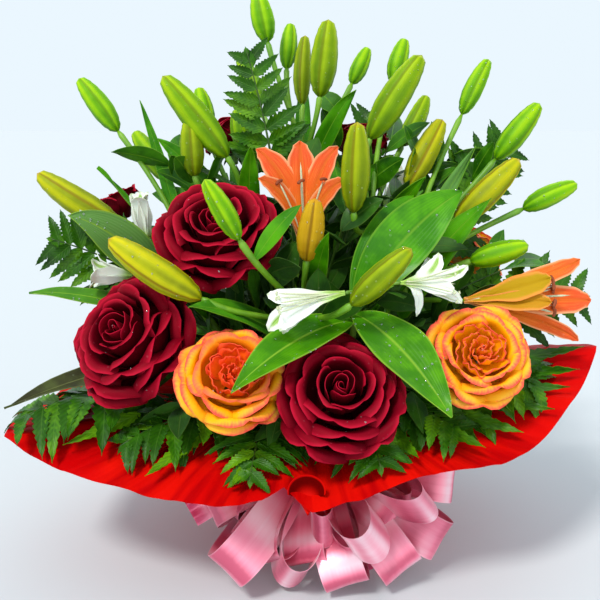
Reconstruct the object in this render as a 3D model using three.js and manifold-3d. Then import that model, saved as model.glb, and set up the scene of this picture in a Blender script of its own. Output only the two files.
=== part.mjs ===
// A hand-tied mixed bouquet that stands on its cut stems: roses, lilies, alstroemeria and
// leatherleaf fern, spiralled through one binding, in a flared paper wrap with a satin bow.
// Millimetres, +Z up, front towards -Y. The origin is on the surface, under the binding.
import * as THREE from "three";
import { mergeVertices } from "three/addons/utils/BufferGeometryUtils.js";
import Module from "manifold-3d";

const wasm = await Module();
wasm.setup();

// Driving dimensions
const BINDING_Z = 93; // height of the binding, where the stems cross
const FOOT_SPREAD = 1.9; // how far the cut ends open out, against the binding
const FOOT_TWIST = 48; // degrees that the spiral turns between the cut ends and the binding
const WAIST_R = 29; // outside of the paper where the ribbon holds it
const WAIST_LOW = 82;
const WAIST_HIGH = 104;
const HEM_R = 58; // the paper's skirt, where it stands on the surface
const BAND_R = WAIST_R + 1.6; // outside of the ribbon round the waist
const PAPER = 0.9; // thickness
const RIBBON = 0.8; // thickness
const BLADE = 1.2; // thickness of a leaf at its rib
const CLEAR = 0.3; // gap between pieces that touch
const TWINE_GAP = 0.7; // between the twine's corners and the stems, and the paper
const TWINE_EDGES = [BINDING_Z - 4, BINDING_Z + 1];
const KNOT_GAP = 0.6; // between the middle of the knot's flank and the band
const UP = new THREE.Vector3(0, 0, 1);

const STEM_R = { rose: 3.4, lily: 4, alstroemeria: 2.6, fern: 1.8 };

const MATERIALS = {
  redPetal: { color: 0x8f0a1c, roughness: 0.6 },
  orangePetal: { color: 0xf39a1a, roughness: 0.55 },
  lilyPetal: { color: 0xe2621f, roughness: 0.5 },
  whitePetal: { color: 0xeff3e6, roughness: 0.5 },
  roseGreen: { color: 0x4a6b22, roughness: 0.6 },
  lilyGreen: { color: 0x86ac1c, roughness: 0.45 },
  alstroemeriaGreen: { color: 0x4d8f1e, roughness: 0.45 },
  fernGreen: { color: 0x1f5a14, roughness: 0.5 },
  redPaper: { color: 0xdc0a10, roughness: 0.5 },
  pinkSatin: { color: 0xe39ab8, roughness: 0.3 },
  twine: { color: 0xb09a6a, roughness: 0.9 },
};

const v = (x, y, z) => new THREE.Vector3(x, y, z);
const turn = (degrees) => THREE.MathUtils.degToRad(degrees);
const mix = THREE.MathUtils.lerp;

// Solids

function solidFrom(points, faces) {
  const geometry = new THREE.BufferGeometry();
  const coordinates = points.flatMap((p) => [p.x, p.y, p.z]);
  geometry.setAttribute("position", new THREE.Float32BufferAttribute(coordinates, 3));
  geometry.setIndex(faces.flat());
  const merged = mergeVertices(geometry, 1e-4);
  const corners = merged.attributes.position.array;
  const build = (order) => {
    const mesh = new wasm.Mesh({ numProp: 3, vertProperties: corners, triVerts: new Uint32Array(order) });
    return new wasm.Manifold(mesh);
  };
  const index = [...merged.index.array];
  const made = build(index);
  return made.volume() < 0 ? build(index.reverse()) : made;
}

// A closed body through rings of points. A ring has as many points as the one before, or twice
// as many. A thin section lists one face and then the other, and both are split along like diagonals.
function loft(rings, { foot = null, tip = null, loop = false } = {}) {
  const points = rings.flat();
  const faces = [];
  const starts = rings.map((_, i) => rings.slice(0, i).reduce((sum, ring) => sum + ring.length, 0));
  const spans = loop ? rings.length : rings.length - 1;
  for (let i = 0; i < spans; i++) {
    const count = rings[i].length;
    const above = rings[(i + 1) % rings.length].length;
    const low = starts[i];
    const high = starts[(i + 1) % rings.length];
    for (let j = 0; j < count; j++) {
      const [a, b] = [low + j, low + ((j + 1) % count)];
      const at = (n) => high + (n % above);
      if (above === 2 * count) {
        const [c, d, e] = [at(2 * j), at(2 * j + 1), at(2 * j + 2)];
        faces.push([a, b, d], [b, e, d], [a, d, c]);
      } else if (j < count / 2) {
        faces.push([a, b, at(j + 1)], [a, at(j + 1), at(j)]);
      } else {
        faces.push([a, b, at(j)], [b, at(j + 1), at(j)]);
      }
    }
  }
  if (!loop) {
    const middle = (ring) => ring.reduce((sum, p) => sum.add(p), v(0, 0, 0)).divideScalar(ring.length);
    const last = rings.at(-1);
    const start = starts.at(-1);
    points.push(foot ?? middle(rings[0]), tip ?? middle(last));
    rings[0].forEach((_, j, ring) => faces.push([(j + 1) % ring.length, j, points.length - 2]));
    last.forEach((_, j) => faces.push([start + j, start + ((j + 1) % last.length), points.length - 1]));
  }
  return solidFrom(points, faces);
}

const join = (solids) => wasm.Manifold.union(solids);

function meshOf(name, material, solid) {
  const largest = solid.decompose().sort((a, b) => b.volume() - a.volume())[0];
  const made = largest.getMesh();
  const geometry = new THREE.BufferGeometry();
  geometry.setAttribute("position", new THREE.BufferAttribute(made.vertProperties, 3));
  geometry.setIndex(new THREE.BufferAttribute(made.triVerts, 1));
  geometry.computeVertexNormals();
  const mesh = new THREE.Mesh(geometry, new THREE.MeshStandardMaterial(MATERIALS[material]));
  mesh.name = name;
  return mesh;
}

// Stems, leaves and buds

// Shares of the way along a curve, in equal steps.
const evenly = (steps) => Array.from({ length: steps + 1 }, (_, i) => i / steps);

// Rings round a curve at the given shares of its length. radius is a number, or a function of the share.
function ringsAlong(curve, radius, { shares = evenly(3), sides = 5, flatFoot = false } = {}) {
  const at = typeof radius === "function" ? radius : () => radius;
  const side = v(0.31, 0.95, 0.06);
  return shares.map((share, i) => {
    const along = curve.getTangentAt(share);
    side.projectOnPlane(along).normalize();
    const ring = circle(curve.getPointAt(share), side, along.clone().cross(side), at(share), sides);
    if (flatFoot && i === 0) ring.forEach((p) => p.addScaledVector(along, -p.z / along.z));
    return ring;
  });
}

// Points round a centre, with every other one at a share of the radius where ridge is given.
function circle(centre, side, other, radius, sides, ridge = 1) {
  return Array.from({ length: sides }, (_, j) => {
    const a = (j / sides) * 2 * Math.PI;
    const r = radius * (j % 2 ? ridge : 1);
    return centre
      .clone()
      .addScaledVector(side, r * Math.cos(a))
      .addScaledVector(other, r * Math.sin(a));
  });
}

const stalk = (curve, radius, options) => loft(ringsAlong(curve, radius, options));

// A point at a distance from the middle and an azimuth, which is measured from the front towards +X.
const around = (r, azimuth, z = BINDING_Z) => v(r * Math.sin(turn(azimuth)), -r * Math.cos(turn(azimuth)), z);

// The way of a stem from its cut end, through its place in the binding, to its head.
function stemCurve(r, azimuth, head, arrive, lift) {
  const foot = around(r * FOOT_SPREAD, azimuth - FOOT_TWIST, 0);
  const waist = around(r, azimuth);
  const rise = waist.clone().sub(foot).divideScalar(BINDING_Z);
  const reach = waist.distanceTo(head);
  const curve = new THREE.CurvePath();
  curve.add(new THREE.LineCurve3(foot, waist));
  curve.add(
    new THREE.CubicBezierCurve3(
      waist,
      waist.clone().addScaledVector(rise, Math.min(lift, reach * 0.6)),
      head.clone().addScaledVector(arrive, -reach * 0.35),
      head,
    ),
  );
  return curve;
}

// Stems join the bunch one by one. Each goes as near the middle of the binding as the ones before
// it leave room for, a little to either side if need be, so that they lie against each other there.
const SETTLE_STEP = 0.4;
const SETTLE_SIDES = [0, 9, -9, 18, -18, 27, -27, 36, -36, 45, -45];
const FLAT = 0.8; // how near a stem's flats are to its middle, as a share of its radius
const bunch = { inTheWay: [], places: [], radius: 0 };

// The way of a stem of one kind, from its seat in the bunch to its head.
function settle(kind, azimuth, head, arrive, lift = 60) {
  const radius = STEM_R[kind];
  for (let r = 0; r < WAIST_R; r += SETTLE_STEP) {
    for (const side of SETTLE_SIDES) {
      const place = { radius, at: around(r, azimuth + side) };
      const taken = (other) => other.at.distanceTo(place.at) < FLAT * (other.radius + radius);
      if (bunch.places.some(taken)) continue;
      const curve = stemCurve(r, azimuth + side, head, arrive, lift);
      const room = stalk(curve, radius + CLEAR / 2, { shares: stemShares(curve), flatFoot: true });
      if (bunch.inTheWay.some((other) => !room.intersect(other).isEmpty())) continue;
      bunch.inTheWay.push(room);
      bunch.places.push(place);
      bunch.radius = Math.max(bunch.radius, r + radius);
      return curve;
    }
  }
  throw new Error(`no room for a ${kind} stem at ${azimuth}`);
}

// A stem's rings: one at the cut end, one in the binding, and the rest in equal steps above it.
const STEM_STEPS = 5;

function stemShares(curve) {
  const waist = curve.curves[0].getLength() / curve.getLength();
  return [0, ...evenly(STEM_STEPS - 1).map((share) => mix(waist, 1, share))];
}

// A thin blade from root to tip, arched upwards, folded along its rib and widest below its middle.
const LEAF_ARCH = 12;
const LEAF_FOLD = 0.15; // rise of the edges over the rib, as a share of half the width
const LEAF_STEPS = 3;
const LEAF_BROADEST = 0.42;

function blade(root, tip, width, face = UP) {
  const middle = root.clone().lerp(tip, 0.5).addScaledVector(UP, LEAF_ARCH);
  const curve = new THREE.QuadraticBezierCurve3(root, middle, tip);
  const power = Math.log(0.5) / Math.log(LEAF_BROADEST);
  const rings = [];
  for (let i = 0; i < LEAF_STEPS; i++) {
    const share = (i + (i ? 0 : 0.04)) / LEAF_STEPS;
    const centre = curve.getPoint(share);
    const along = curve.getTangent(share);
    const side = along.clone().cross(face).normalize();
    const normal = side.clone().cross(along).normalize();
    const half = Math.max((width / 2) * Math.sin(Math.PI * share ** power) ** 0.85, BLADE);
    const lift = half * LEAF_FOLD;
    rings.push([
      centre.clone().addScaledVector(side, -half).addScaledVector(normal, lift),
      centre.clone().addScaledVector(normal, BLADE / 2),
      centre.clone().addScaledVector(side, half).addScaledVector(normal, lift),
      centre.clone().addScaledVector(normal, -BLADE / 2),
    ]);
  }
  return loft(rings, { foot: root, tip });
}

// A lily bud on its stalk: three-sided along the stalk and three-ridged in the bud.
const BUD_OUTLINE = [[0.3, 0.92], [0.7, 0.95]];
const BUD_FOOT = 0.36;
const BUD_RIDGE = 0.84;

function budOnStalk(path, radius, base, tip, width) {
  const along = tip.clone().sub(base);
  const axis = along.clone().normalize();
  const rings = ringsAlong(path, radius, { sides: 3 }).slice(0, 3);
  const last = rings.at(-1);
  const side = last[0].clone().sub(path.getPointAt(2 / 3)).projectOnPlane(axis).normalize();
  const other = axis.clone().cross(side);
  const at = (share, breadth) =>
    circle(base.clone().addScaledVector(along, share), side, other, (width / 2) * breadth, 6, BUD_RIDGE);
  const bud = BUD_OUTLINE.map(([share, breadth]) => at(share, breadth));
  return loft([...rings, at(0, BUD_FOOT), ...bud], { tip });
}

// Roses

const ROSE_WIDTH = 92; // of the bloom that the rows below describe
const ROSE_MIDDLE = 25; // height of its widest part over its foot
// Each layer's petals: radius, height and share of the full width, from the foot to the lip.
const INNER_ROWS = [[7, 14, 0.8], [12.5, 30, 1], [9, 49, 0.5]];
const MIDDLE_ROWS = [[7, 6, 0.6], [21, 20, 1], [25, 47, 0.55]];
const OUTER_ROWS = [[7, 2, 0.5], [31, 12, 0.95], [39, 36, 1], [46, 37, 0.55]];
const FULL_ROSE = [
  { petals: 3, span: 60, start: 10, rows: INNER_ROWS },
  { petals: 4, span: 50, start: 40, rows: MIDDLE_ROWS },
  { petals: 4, span: 50, start: 5, rows: OUTER_ROWS },
];
const BUD_ROSE = [
  { petals: 2, span: 66, start: 10, rows: INNER_ROWS, plain: true },
  { petals: 3, span: 56, start: 40, rows: MIDDLE_ROWS, plain: true },
];
const SMALL_ROSE = [
  { petals: 2, span: 66, start: 10, rows: INNER_ROWS, plain: true },
  { petals: 3, span: 56, start: 40, rows: MIDDLE_ROWS, plain: true },
  { petals: 3, span: 58, start: 100, rows: OUTER_ROWS, plain: true },
];
const HEART = [[6, 0], [9, 8], [7.5, 38]];
const HEART_SIDES = 6;
const HEART_TOP = 45;
const PETAL_THICK = 1.1;
const PETAL_LAP = 2; // one edge of a petal stands out over its neighbour by this much, the other in

function rosePetal(layer, index, scale) {
  const middle = layer.start + (index * 360) / layer.petals;
  const rings = layer.rows.map(([r, z, share]) => {
    const at = (u, inward) => {
      const a = turn(middle + u * layer.span * share);
      const radius = (r + PETAL_LAP * u) * scale - inward;
      return v(radius * Math.cos(a), radius * Math.sin(a), z * scale);
    };
    if (layer.plain) return [at(-1, 0), at(0, -PETAL_THICK / 2), at(1, 0), at(0, PETAL_THICK / 2)];
    return [at(-1, 0), at(-0.36, 0), at(0.36, 0), at(1, 0), at(0, PETAL_THICK * 1.2)];
  });
  return loft(rings);
}

function roseBloom(width, layers) {
  const scale = width / ROSE_WIDTH;
  const heart = loft(
    HEART.map(([r, z]) =>
      Array.from({ length: HEART_SIDES }, (_, j) => {
        const a = (j / HEART_SIDES) * 2 * Math.PI;
        return v(r * scale * Math.cos(a), r * scale * Math.sin(a), z * scale);
      }),
    ),
    { tip: v(0, 0, HEART_TOP * scale) },
  );
  const petals = layers.flatMap((layer) =>
    Array.from({ length: layer.petals }, (_, index) => rosePetal(layer, index, scale)),
  );
  return join([heart, ...petals]);
}

function roseFoot({ at, faces, width }) {
  const axis = v(...faces).normalize();
  return v(...at).addScaledVector(axis, (-ROSE_MIDDLE * width) / ROSE_WIDTH);
}

// Under a bloom the stem widens to a cup, and five sepals stand out of it like a star.
// Each row: radius of the sepals' tips, radius between them, and drop below the bloom.
const CALYX = [[3, 3, 16], [6.5, 6.5, 9], [24, 6, 13], [5, 5, 0]];

function roseStem({ at, faces, width, place, lift = 60 }) {
  const axis = v(...faces).normalize();
  const scale = width / ROSE_WIDTH;
  const seat = roseFoot({ at, faces, width }).addScaledVector(axis, -CLEAR);
  const neck = seat.clone().addScaledVector(axis, -18 * scale);
  const path = settle("rose", place, neck, axis, lift);
  const rings = ringsAlong(path, STEM_R.rose, { shares: stemShares(path), flatFoot: true });
  const side = rings.at(-1)[0].clone().sub(neck).projectOnPlane(axis).normalize();
  const other = axis.clone().cross(side);
  const calyx = CALYX.map(([tips, between, drop], i) => {
    const centre = seat.clone().addScaledVector(axis, -drop * scale);
    return circle(centre, side, other, tips * scale, i ? 10 : 5, between / tips);
  });
  return loft([...rings, ...calyx]);
}

// Open lilies and alstroemerias

// Radius and height along a petal, as shares of its length, and the petal's breadth there.
const TRUMPET = [[0.04, 0.06, 0.16], [0.12, 0.3, 0.7], [0.24, 0.62, 1], [0.38, 0.84, 0.7]];
const SHORT_TRUMPET = [TRUMPET[0], TRUMPET[1], TRUMPET[3]];
const TRUMPET_TIP = [0.5, 0.95];
const THROAT = [[0.03, 0], [0.055, 0.05], [0.035, 0.2]];
const WIDEST_TURN = 56; // degrees that half a petal may reach round the flower

function trumpetPetal(rows, length, width, azimuth, open) {
  const place = (r, z, a, out = 0) => {
    const radius = r * length * open + out;
    return v(radius * Math.cos(a), radius * Math.sin(a), z * length);
  };
  const rings = rows.map(([r, z, breadth]) => {
    const reach = Math.min((width * breadth) / 2 / (r * length * open), turn(WIDEST_TURN));
    return [
      place(r, z, azimuth - reach),
      place(r, z, azimuth, BLADE / 2),
      place(r, z, azimuth + reach),
      place(r, z, azimuth, -BLADE / 2),
    ];
  });
  return loft(rings, { tip: place(...TRUMPET_TIP, azimuth) });
}

function trumpet({ length, width, open, rows = TRUMPET }) {
  const throat = loft(
    THROAT.map(([r, z]) =>
      Array.from({ length: 6 }, (_, j) => {
        const a = (j / 6) * 2 * Math.PI;
        return v(r * length * Math.cos(a), r * length * Math.sin(a), z * length);
      }),
    ),
  );
  const petals = Array.from({ length: 6 }, (_, i) => {
    const [breadth, spread] = i % 2 ? [0.85, 0.84] : [1, 1.12];
    return trumpetPetal(rows, length, width * breadth, (i / 6) * 2 * Math.PI, open * spread);
  });
  return join([throat, ...petals]);
}

// Ferns

const LEAFLET_PAIRS = 5;
const RIB_HALF = 1.3; // half the width and half the height of a frond's rib
// A leaflet's rim, from the rib out and back: share of its length, share of its half width.
const LEAFLET_RIM = [[0.34, 0.9], [0.5, 0.56], [1, 0], [0.56, -0.56], [0.34, -0.9]];
const LEAFLET_HEART = 0.42;

// A frond and its stem in one skin: the rib follows the curve, and leaflets stand in pairs,
// longest at the foot of the leafy part, with a last one in line with the rib.
function frond(place, root, bend, tip, { face, spread = 0.4, lift = 40 }) {
  const rib = new THREE.QuadraticBezierCurve3(root, bend, tip);
  const stem = settle("fern", place, root, rib.getTangent(0), lift);
  const length = rib.getLength();
  const points = [];
  const faces = [];
  const put = (p) => points.push(p) - 1;
  const frameAt = (centre, along) => {
    const side = along.clone().cross(face).normalize();
    return { centre, along, side, normal: side.clone().cross(along).normalize() };
  };
  const ringAt = ({ centre, side, normal, along }, half, level = false) =>
    [side, normal, side.clone().negate(), normal.clone().negate()].map((way) => {
      const p = centre.clone().addScaledVector(way, half);
      if (level) p.addScaledVector(along, -p.z / along.z);
      return put(p);
    });
  const quad = (a, b, c, d) => faces.push([a, b, c], [a, c, d]);
  const shares = stemShares(stem).slice(0, -1);
  let ring = ringAt(frameAt(stem.getPointAt(0), stem.getTangentAt(0)), STEM_R.fern, true);
  quad(ring[3], ring[2], ring[1], ring[0]);
  for (const share of shares.slice(1)) {
    const next = ringAt(frameAt(stem.getPointAt(share), stem.getTangentAt(share)), STEM_R.fern);
    for (let j = 0; j < 4; j++) quad(ring[j], ring[(j + 1) % 4], next[(j + 1) % 4], next[j]);
    ring = next;
  }
  const first = ringAt(frameAt(root, rib.getTangent(0)), RIB_HALF);
  for (let j = 0; j < 4; j++) quad(ring[j], ring[(j + 1) % 4], first[(j + 1) % 4], first[j]);
  ring = first;

  // One leaflet: its rim, and a raised heart on either face, which every corner runs to.
  const leaflet = (from, reach, normal, low, high, end) => {
    const across = reach.clone().cross(normal).normalize();
    const half = end.width / 2;
    const rim = LEAFLET_RIM.map(([share, breadth]) =>
      put(
        from
          .clone()
          .addScaledVector(reach, share)
          .addScaledVector(across, breadth * half * end.way)
          .addScaledVector(normal, -reach.length() * 0.1 * share * share),
      ),
    );
    const heart = from.clone().addScaledVector(reach, LEAFLET_HEART);
    const upper = put(heart.clone().addScaledVector(normal, BLADE / 2));
    const lower = put(heart.clone().addScaledVector(normal, -BLADE / 2));
    const over = [low.top, low.edge, ...rim, high.edge, high.top];
    const under = [low.bottom, low.edge, ...rim, high.edge, high.bottom];
    for (const [outline, centre, back] of [[over, upper, false], [under, lower, true]]) {
      outline.forEach((a, i) => {
        const b = outline[(i + 1) % outline.length];
        if (a !== b) faces.push(back === end.way > 0 ? [a, b, centre] : [b, a, centre]);
      });
    }
  };
  for (let i = 0; i < LEAFLET_PAIRS; i++) {
    const share = ((i + 1) * 0.84) / LEAFLET_PAIRS;
    const { centre, along, side, normal } = frameAt(rib.getPoint(share), rib.getTangent(share));
    const next = ringAt({ centre, along, side, normal }, mix(RIB_HALF, 0.7, share));
    const from = rib.getPoint(share - 0.42 / LEAFLET_PAIRS);
    const long = length * spread * (1 - 0.72 * (i / LEAFLET_PAIRS));
    const width = (length * 0.84 * 0.78) / LEAFLET_PAIRS;
    for (const way of [1, -1]) {
      const reach = side.clone().multiplyScalar(way * 0.9).addScaledVector(along, 0.45).multiplyScalar(long);
      const pick = (r) => ({ top: r[1], edge: r[way === 1 ? 0 : 2], bottom: r[3] });
      leaflet(from, reach, normal, pick(ring), pick(next), { way, width });
    }
    ring = next;
  }
  const { centre, side, normal } = frameAt(rib.getPoint(0.84), rib.getTangent(0.84));
  const reach = tip.clone().sub(centre);
  const edge = LEAFLET_RIM.map(([share, breadth]) =>
    put(centre.clone().addScaledVector(reach, share).addScaledVector(side, breadth * length * 0.05)),
  );
  const upper = put(centre.clone().addScaledVector(reach, LEAFLET_HEART).addScaledVector(normal, BLADE / 2));
  const lower = put(centre.clone().addScaledVector(reach, LEAFLET_HEART).addScaledVector(normal, -BLADE / 2));
  const over = [ring[1], ring[0], ...edge, ring[2]];
  const under = [ring[3], ring[0], ...edge, ring[2]];
  over.forEach((a, i) => faces.push([over[(i + 1) % over.length], a, upper]));
  under.forEach((a, i) => faces.push([a, under[(i + 1) % under.length], lower]));
  return solidFrom(points, faces);
}

// The paper wrap

// The rim of the wrap: azimuth from the front towards +X, distance from the middle, height.
const RIM = [
  [-180, 205, 142], [-150, 208, 140], [-120, 216, 138], [-94, 238, 132], [-68, 270, 137],
  [-57, 236, 119], [-47, 212, 113], [-34, 194, 110], [-18, 185, 109], [-5, 178, 114],
  [3, 172, 124], [11, 194, 106], [20, 188, 120], [35, 194, 133], [47, 218, 132], [57, 233, 143],
  [68, 250, 166], [80, 268, 201], [98, 236, 176], [122, 214, 150], [150, 206, 144],
];
const COLLAR_BELLY = 22; // how far the collar bulges over the straight line from waist to rim
const COLLAR_SHARES = [0.14, 0.38, 0.68, 1];
const PLEAT = 1.6;
const WIDE_SPAN = 12; // degrees between rim points, past which the wrap has one more section

// Height and distance of the rim at any azimuth.
function rimAt(azimuth) {
  const a = ((((azimuth + 180) % 360) + 360) % 360) - 180;
  const after = RIM.findIndex((row) => row[0] > a);
  const [a0, r0, z0] = RIM[after < 0 ? RIM.length - 1 : after - 1];
  const [a1, r1, z1] = after < 0 ? [180, RIM[0][1], RIM[0][2]] : RIM[after];
  const share = (a - a0) / (a1 - a0);
  return { r: mix(r0, r1, share), z: mix(z0, z1, share) };
}

// The upper face of the collar at an azimuth and a share of the way out to the rim.
function collar(azimuth, share, over = 0) {
  const rim = rimAt(azimuth);
  const r = mix(WAIST_R, rim.r, share);
  const z = mix(WAIST_HIGH, rim.z, share) + COLLAR_BELLY * Math.sin(Math.PI * share ** 0.8) + over;
  return v(r * Math.sin(turn(azimuth)), -r * Math.cos(turn(azimuth)), z);
}

function wrap() {
  const azimuths = RIM.flatMap(([a], i) => {
    const next = i + 1 < RIM.length ? RIM[i + 1][0] : 180;
    return next - a > WIDE_SPAN ? [a, (a + next) / 2] : [a];
  });
  const sections = azimuths.map((azimuth, i) => {
    const out = v(Math.sin(turn(azimuth)), -Math.cos(turn(azimuth)), 0);
    const pleat = i % 2 ? PLEAT : -PLEAT;
    const skirt = [[HEM_R + pleat, 0], [WAIST_R, WAIST_LOW], [WAIST_R, WAIST_HIGH]];
    const outside = [
      ...skirt.map(([r, z]) => out.clone().multiplyScalar(r).setZ(z)),
      ...COLLAR_SHARES.map((share) => collar(azimuth, share, -PAPER)),
    ];
    const inside = outside.map((p, j) => {
      const before = outside[Math.max(j - 1, 0)];
      const after = outside[Math.min(j + 1, outside.length - 1)];
      const along = after.clone().sub(before).normalize();
      const inward = v(0, 0, along.dot(out)).addScaledVector(out, -along.z).normalize();
      if (j === 0) inward.setZ(0).normalize();
      return p.clone().addScaledVector(inward, PAPER);
    });
    return [...outside, ...inside.reverse()];
  });
  return loft(sections, { loop: true });
}

// Ribbon and binding

// A closed three.js geometry as a solid.
function solidOf(geometry) {
  const merged = mergeVertices(geometry, 1e-3);
  const points = [];
  for (let i = 0; i < merged.attributes.position.count; i++) {
    points.push(new THREE.Vector3().fromBufferAttribute(merged.attributes.position, i));
  }
  const index = [...merged.index.array];
  const faces = [];
  for (let i = 0; i < index.length; i += 3) {
    const face = index.slice(i, i + 3);
    if (new Set(face).size === 3) faces.push(face);
  }
  return solidFrom(points, faces);
}

const HOOP_SIDES = 24;

// A band round the middle: inner and outer radius, low and high edge.
function hoop(inner, outer, low, high) {
  const profile = [[inner, low], [outer, low], [outer, high], [inner, high], [inner, low]];
  const geometry = new THREE.LatheGeometry(profile.map(([r, z]) => new THREE.Vector2(r, z)), HOOP_SIDES);
  geometry.rotateX(Math.PI / 2);
  geometry.deleteAttribute("normal");
  geometry.deleteAttribute("uv");
  return solidOf(geometry);
}

// The knot of the bow, which lies against the band.
const KNOT_HALF = v(13, 8, 11);
const KNOT = around(BAND_R + KNOT_HALF.y + KNOT_GAP, 22);
const RIBBON_WIDTH = 38;
const LOOP_FOOT = 8; // distance of a loop's ends from the middle of the knot
const LOOP_STEPS = 8;
// The outermost point of each loop, how far its two sides open, and how it is turned: 0 shows the
// flat of the ribbon to the front, 90 shows its edge.
const LOOPS = [
  [[-80, -96, 68], 18, 20], [[-62, -138, 32], 20, -6], [[-8, -134, 22], 26, 84], [[40, -134, 14], 20, 8],
  [[58, -154, 62], 26, 88], [[88, -126, 20], 20, -8], [[124, -100, 36], 20, 6], [[106, -132, 88], 18, 60],
  [[136, -78, 84], 16, 0],
];
// The free ends: where each one ends.
const TAILS = [[-98, -80, 56], [70, -96, 12]];

function ribbonStrip(path, across, widthAt) {
  const rings = path.map((p, i) => {
    const along = path[Math.min(i + 1, path.length - 1)].clone().sub(path[Math.max(i - 1, 0)]).normalize();
    const flat = across.clone().addScaledVector(along, -across.dot(along)).normalize();
    const normal = along.clone().cross(flat).normalize().multiplyScalar(RIBBON / 2);
    const half = flat.multiplyScalar(widthAt(i / (path.length - 1)) / 2);
    return [
      p.clone().sub(half).add(normal),
      p.clone().add(half).add(normal),
      p.clone().add(half).sub(normal),
      p.clone().sub(half).sub(normal),
    ];
  });
  return loft(rings);
}

function bowLoop([end, open, roll]) {
  const out = v(...end).sub(KNOT).normalize();
  const foot = KNOT.clone().addScaledVector(out, LOOP_FOOT);
  const reach = v(...end).sub(foot);
  const across = out.clone().cross(v(0, -1, 0.25)).normalize().applyAxisAngle(out, turn(roll));
  const height = across.clone().cross(out).normalize();
  const path = Array.from({ length: LOOP_STEPS + 1 }, (_, i) => {
    const a = (2 * Math.PI * i) / LOOP_STEPS;
    const far = (1 - Math.cos(a)) / 2;
    const side = (open / 2) * 1.5 * Math.sin(a) * far ** 0.9 + (i === 0 ? 1 : 0) - (i === LOOP_STEPS ? 1 : 0);
    return foot.clone().addScaledVector(reach, far).addScaledVector(height, side);
  });
  return ribbonStrip(path, across, (share) =>
    mix(RIBBON_WIDTH * 0.2, RIBBON_WIDTH, Math.sin(Math.PI * share) ** 1.3),
  );
}

function bowTail(end) {
  const out = v(...end).sub(KNOT).normalize();
  const foot = KNOT.clone().addScaledVector(out, LOOP_FOOT);
  const reach = v(...end).sub(foot);
  const across = out.clone().cross(v(0, -1, 0.25)).normalize();
  const path = [0, 0.45, 1].map((share) => foot.clone().addScaledVector(reach, share));
  return ribbonStrip(path, across, (share) => RIBBON_WIDTH * mix(0.3, 0.8, Math.min(1, share * 2)));
}

function bow() {
  const knot = new THREE.SphereGeometry(1, 7, 4);
  knot.deleteAttribute("normal");
  knot.deleteAttribute("uv");
  knot.scale(...KNOT_HALF);
  knot.translate(...KNOT);
  return join([solidOf(knot), ...LOOPS.map(bowLoop), ...TAILS.map(bowTail)]);
}

// What the bouquet holds. place is the azimuth in the binding that the stem makes for.

const ROSES = [
  {
    name: "rose_red_front", colour: "redPetal", at: [31, -146, 190],
    faces: [0.05, -0.72, 0.69], width: 96, place: -20,
  },
  {
    name: "rose_red_left", colour: "redPetal", at: [-140, -94, 220],
    faces: [-0.45, -0.65, 0.61], width: 102, place: -100,
  },
  {
    name: "rose_red_upper", colour: "redPetal", at: [-67, -80, 306],
    faces: [-0.1, -0.6, 0.79], width: 96, place: -60,
  },
  {
    name: "rose_orange_front", colour: "orangePetal", at: [-53, -142, 203],
    faces: [0.14, -0.7, 0.7], width: 80, place: -60,
  },
  {
    name: "rose_orange_right", colour: "orangePetal", at: [143, -117, 214],
    faces: [0.05, -0.83, 0.56], width: 78, place: 60, lift: 95,
  },
  {
    name: "rose_red_far_left", colour: "redPetal", at: [-174, 58, 308],
    faces: [-0.45, 0.1, 0.88], width: 62, place: -150, lift: 95, layers: BUD_ROSE,
  },
  {
    name: "rose_red_top_left", colour: "redPetal", at: [-68, 88, 372],
    faces: [-0.2, 0.45, 0.87], width: 58, place: -120, layers: SMALL_ROSE,
  },
  {
    name: "rose_red_top_right", colour: "redPetal", at: [58, 84, 370],
    faces: [0.05, 0.3, 0.95], width: 58, place: 120, layers: SMALL_ROSE,
  },
  {
    name: "rose_red_back", colour: "redPetal", at: [15, 158, 240],
    faces: [0, 0.75, 0.66], width: 88, place: 160, layers: SMALL_ROSE,
  },
  {
    name: "rose_orange_back_right", colour: "orangePetal", at: [176, 100, 252],
    faces: [0.6, 0.5, 0.62], width: 70, place: 100, layers: SMALL_ROSE,
  },
];

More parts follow.
